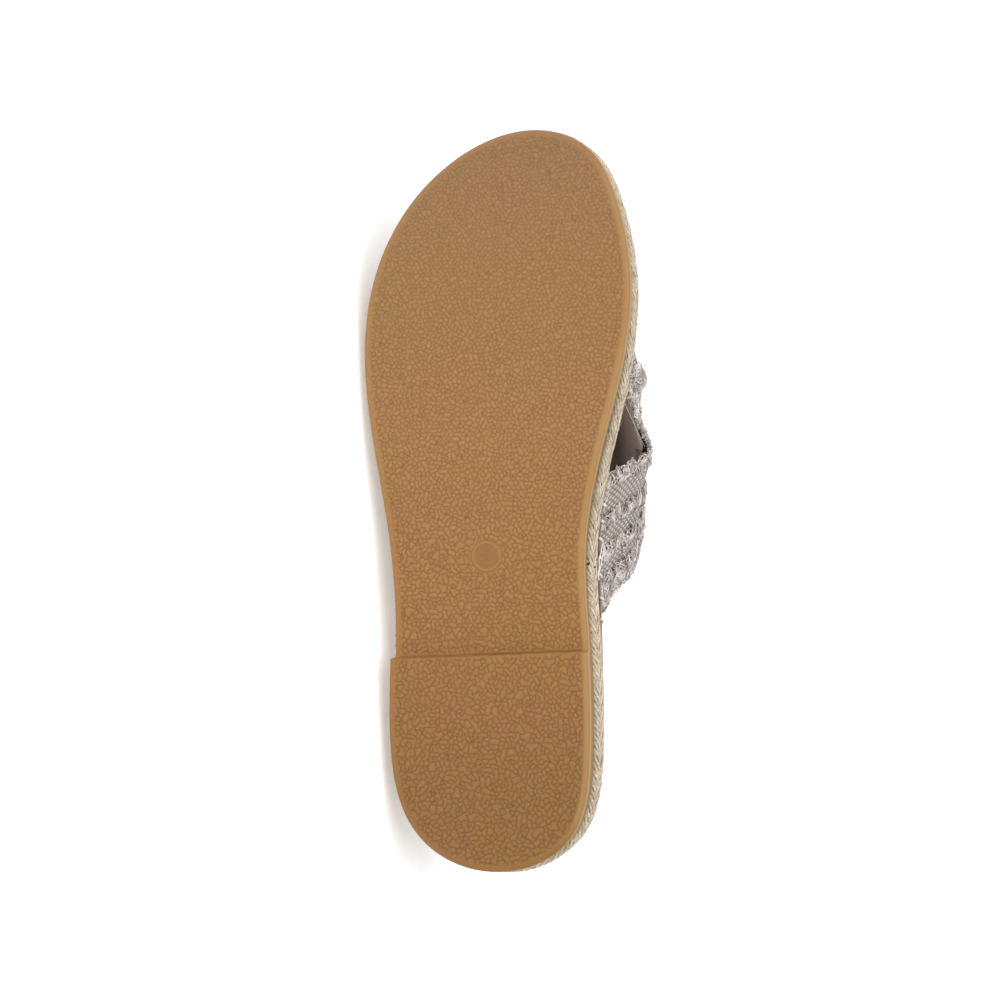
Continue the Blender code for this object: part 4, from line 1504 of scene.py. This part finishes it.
def rubber():
    """Caramel gum rubber, tinted from heel to toe, with painted shade in the grooves, along the foot of the
    heel breast and on the wall's top under the rope, and a painted highlight on the pebble tops, the medial
    edge and the side wall.
    """
    look = Look("gum_rubber", 0.5, 0.35)
    place = look.place()
    along = look.calculate("MULTIPLY", look.split(place)["X"], -1 / (SOLE_LENGTH * MM))
    colour = look.ramp(
        look.calculate("ADD", along, 0.5), (0.10, (0.248, 0.120, 0.031)), (0.34, (0.313, 0.151, 0.042)),
        (0.58, (0.349, 0.172, 0.058)), (0.78, (0.319, 0.169, 0.056)), (0.97, (0.277, 0.147, 0.058)))
    mottle = look.noise(place, 22.0, 2.0)
    colour = look.tone(colour, mottle, (0.34, (0.985, 1.020, 0.96)), (0.66, (1.015, 0.985, 1.04)))
    colour = look.tone(colour, look.noise(place, 900.0), (0.3, 0.92), (0.7, 1.07))
    # Painted shade in the grooves and at the heel breast's foot, painted highlight on the pebble tops
    colour = look.tone(colour, look.stored("groove"), (0.0, 1.06), (0.4, 1.0), (1.0, (0.74, 0.72, 0.70)))
    # Painted highlight on the medial edge
    colour = look.cover(colour, look.stored("edge"), 0.6, (0.400, 0.230, 0.083))
    # Painted highlight on the side wall
    colour = look.cover(colour, look.stored("wall"), 0.75, (0.52, 0.345, 0.155))
    colour = look.cover(colour, look.stored("shade"), 1.0, (0.300, 0.180, 0.077))
    look.feed(look.inputs["Roughness"], look.ramp(look.noise(place, 160.0), (0.3, 0.44), (0.7, 0.58)))
    look.bump(look.noise(place, 2200.0, 2.0), 0.00006)
    return look.paint(colour)


def jute():
    """Pale jute: fibres along the strands, painted shade between them and on the rope's underside, and dark
    specks.
    """
    look = Look("jute_rope", 0.95, 0.15, 0.15)
    fibres = look.noise(look.flat_place(4.5, 0.50), 1.0, 4.0, 0.7)
    colour = look.ramp(
        fibres, (0.30, (0.50, 0.38, 0.27)), (0.45, (0.74, 0.63, 0.48)),
        (0.60, (0.87, 0.78, 0.63)), (0.75, (0.97, 0.91, 0.80)))
    fuzz = look.noise(look.place(), 1300.0, 3.0, 0.6)
    colour = look.tone(colour, fuzz, (0.32, (0.80, 0.78, 0.76)), (0.68, 1.16))
    strands = look.noise(look.flat_place(0.9, 0.16), 1.0, 2.0)
    colour = look.tone(colour, strands, (0.32, (0.74, 0.70, 0.66)), (0.5, 1.0), (0.68, 1.14))
    # Painted shade in the valleys between the strands
    strand_shade = look.stored("strand")
    colour = look.tone(colour, strand_shade, (0.0, (0.20, 0.16, 0.12)), (0.4, (0.62, 0.57, 0.51)), (0.75, 1.0))
    specks = look.ramp(look.noise(look.flat_place(2.6, 0.7), 1.0, 2.0, 0.5), (0.64, 0.0), (0.70, 0.85))
    colour = look.cover(colour, specks, 1.0, (0.15, 0.105, 0.07))
    # Painted shade on the rope's underside, next to the rubber
    colour = look.cover(colour, look.stored("nook_shade"), 0.55, (0.17, 0.115, 0.07))
    look.bump(fibres, 0.0005)
    return look.paint(colour)


def fibre(look, grain, *stops):
    """Loose fibre of an uneven colour, in grains of about a given fineness."""
    return look.paint(look.ramp(look.noise(look.place(), grain), *stops))


def jute_hair():
    look = Look("jute_hair", 0.9, 0.2)
    return fibre(look, 300.0, (0.35, (0.52, 0.42, 0.28)), (0.65, (0.78, 0.70, 0.56)))


def bark():
    look = Look("dark_bark", 0.9, 0.15)
    return fibre(look, 400.0, (0.35, (0.045, 0.030, 0.018)), (0.65, (0.14, 0.095, 0.055)))


def suede():
    """Brown brushed footbed."""
    look = Look("brushed_footbed", 0.92, 0.15, 0.25)
    nap = look.noise(look.place(), 1400.0, 4.0, 0.6)
    brushed = look.noise(look.place(), 45.0)
    colour = look.ramp(brushed, (0.3, (0.265, 0.170, 0.128)), (0.7, (0.345, 0.230, 0.178)))
    look.bump(nap, 0.00025)
    return look.paint(look.tone(colour, nap, (0.3, 0.82), (0.7, 1.15)))


def weave(look):
    """Height of a plain weave, and where its lengthwise yarns lie on top."""
    place = look.split(look.flat_place(np.pi / YARN_ALONG, np.pi / YARN_ACROSS))
    u = look.calculate("SINE", place["X"])
    v = look.calculate("SINE", place["Y"])
    beat = look.calculate("MULTIPLY", u, v)
    over = look.calculate("ADD", look.calculate("MULTIPLY", beat, 0.5), 0.5)
    top = look.calculate("MULTIPLY", look.calculate("ABSOLUTE", u), over)
    rest = look.calculate("SUBTRACT", 1.0, over)
    under = look.calculate("MULTIPLY", look.calculate("ABSOLUTE", v), rest)
    return look.calculate("MAXIMUM", top, under), over


def canvas():
    """Grey taupe canvas: plain weave with uneven yarns, with painted shade in its pores, along its torn
    edges, where the next strip covers it and near the strap's feet.
    """
    look = Look("taupe_canvas", 0.95, 0.15, 0.2)
    height, over = weave(look)
    along = look.noise(look.flat_place(0.12, 1.1), 1.0)
    across = look.noise(look.flat_place(1.1, 0.12), 1.0)
    yarns = look.calculate("MULTIPLY", look.calculate("ADD", along, across), 0.5)
    colour = look.ramp(
        yarns, (0.35, (0.44, 0.375, 0.335)), (0.5, (0.56, 0.49, 0.44)), (0.65, (0.70, 0.625, 0.57)))
    colour = look.tone(colour, over, (0.15, (0.50, 0.48, 0.46)), (0.5, (0.80, 0.79, 0.78)), (0.85, 1.18))
    # Painted shade in the weave's pores
    colour = look.tone(colour, height, (0.15, (0.55, 0.52, 0.50)), (0.5, 1.0))
    # Painted shade from the strip's stored shade
    colour = look.tone(colour, look.stored("canvas_shade"), (0.0, 1.0), (1.0, (0.52, 0.49, 0.47)))
    look.bump(height, 0.0004)
    look.bump(look.noise(look.place(), 3000.0, 2.0), 0.0001)
    return look.paint(colour)


def yarn():
    """Loose pale yarn of the torn edges."""
    look = Look("torn_yarn", 0.95, 0.15, 0.2)
    return fibre(
        look, 260.0, (0.32, (0.34, 0.29, 0.26)), (0.5, (0.64, 0.58, 0.54)), (0.66, (0.93, 0.88, 0.84)))


def lining_cloth():
    """Smooth taupe lining, darkened by painted shade from its medial foot towards the middle of the strap.
    """
    look = Look("taupe_lining", 0.6, 0.3)
    run = look.split(look.flat_place(0.01, 0.01))["X"]
    # Painted shade: light near the medial foot, dark from about 62 mm along the strap on
    colour = look.ramp(run, (0.42, (0.68, 0.58, 0.51)), (0.62, (0.105, 0.073, 0.058)))
    colour = look.tone(colour, look.noise(look.place(), 60.0), (0.3, (0.90, 0.89, 0.88)), (0.7, 1.08))
    look.bump(look.noise(look.place(), 1800.0, 2.0), 0.00008)
    return look.paint(colour)


def white_thread():
    look = Look("white_thread", 0.8, 0.25, 0.1)
    return fibre(look, 900.0, (0.35, (0.66, 0.64, 0.61)), (0.65, (0.86, 0.85, 0.83)))


# Stage

def make_floor():
    """Plain white floor under the shoe, lit from within like a light table."""
    reach = FLOOR_REACH
    mesh = bpy.data.meshes.new("floor")
    corners = [(-reach, -reach, 0), (reach, -reach, 0), (reach, reach, 0), (-reach, reach, 0)]
    mesh.from_pydata(corners, [], [(0, 1, 2, 3)])
    look = Look("pale_floor", 0.9, 0.1)
    look.inputs["Emission Color"].default_value = (1.0, 1.0, 1.0, 1.0)
    look.inputs["Emission Strength"].default_value = FLOOR_GLOW
    mesh.materials.append(look.paint((FLOOR_WHITE, FLOOR_WHITE, FLOOR_WHITE, 1.0)))
    floor = new_object("floor", mesh)


def aim(thing, place, target, up):
    """Place a camera or light and turn it to a target, with a given way up."""
    back = unit(np.asarray(place) - np.asarray(target))
    right = unit(np.cross(up, back))
    turn = np.column_stack([right, np.cross(back, right), back])
    thing.matrix_world = Matrix.Translation(place) @ Matrix(turn.tolist()).to_4x4()


def make_lights():
    """Even white surroundings and one very soft light from above, in front of the tread."""
    world = bpy.data.worlds.new("studio")
    world.use_nodes = True
    surround = world.node_tree.nodes["Background"].inputs
    surround["Color"].default_value = (1.0, 1.0, 1.0, 1.0)
    surround["Strength"].default_value = SURROUND_STRENGTH
    bpy.context.scene.world = world
    data = bpy.data.lights.new("soft_sun", "SUN")
    data.angle = np.radians(SUN_DEGREES)
    data.energy = SUN_STRENGTH
    sun = new_object("soft_sun", data)
    aim(sun, SUN_PLACE, (0.0, 0.0, 0.0), (0.0, 1.0, 0.0))


def make_camera():
    """Camera at the photo's angle to the shoe, rolled so that the toe points up in the image."""
    data = bpy.data.cameras.new("camera")
    data.sensor_width = SENSOR
    data.lens = SENSOR * CAMERA_DISTANCE / (PHOTO_WIDTH * PHOTO_PITCH)
    camera = new_object("camera", data)
    turn = np.radians(CAMERA_TURN)
    back = np.array([-np.sin(turn), 0.0, -np.cos(turn)])
    target = np.array(CAMERA_TARGET)
    place = to_world(target + CAMERA_DISTANCE * back)
    aim(camera, place, to_world(target), TURN[:, 1])
    bpy.context.scene.camera = camera
    bpy.context.scene.view_settings.view_transform = "Standard"


def make_shoe():
    """All pieces of the shoe."""
    rope = jute()
    cloth = canvas()
    torn = yarn()
    inner = lining_cloth()
    make_outsole(rubber())
    make_rope_core(rope)
    for row in range(ROPE_ROWS):
        make_rope_row(row, rope)
    make_fibres(jute_hair())
    make_chips(bark())
    make_footbed(suede())
    for name, front_side in STRAPS:
        make_lining(name, front_side, inner)
        for strip in range(len(STRIP_STARTS)):
            make_strip(name, strip, front_side, cloth)
        make_fray(name, front_side, torn)
        make_edge_yarns(name, front_side, torn)
    thread = white_thread()
    make_stitches(thread)
    make_loose_threads(thread)


make_camera()
make_lights()
make_floor()
make_shoe()
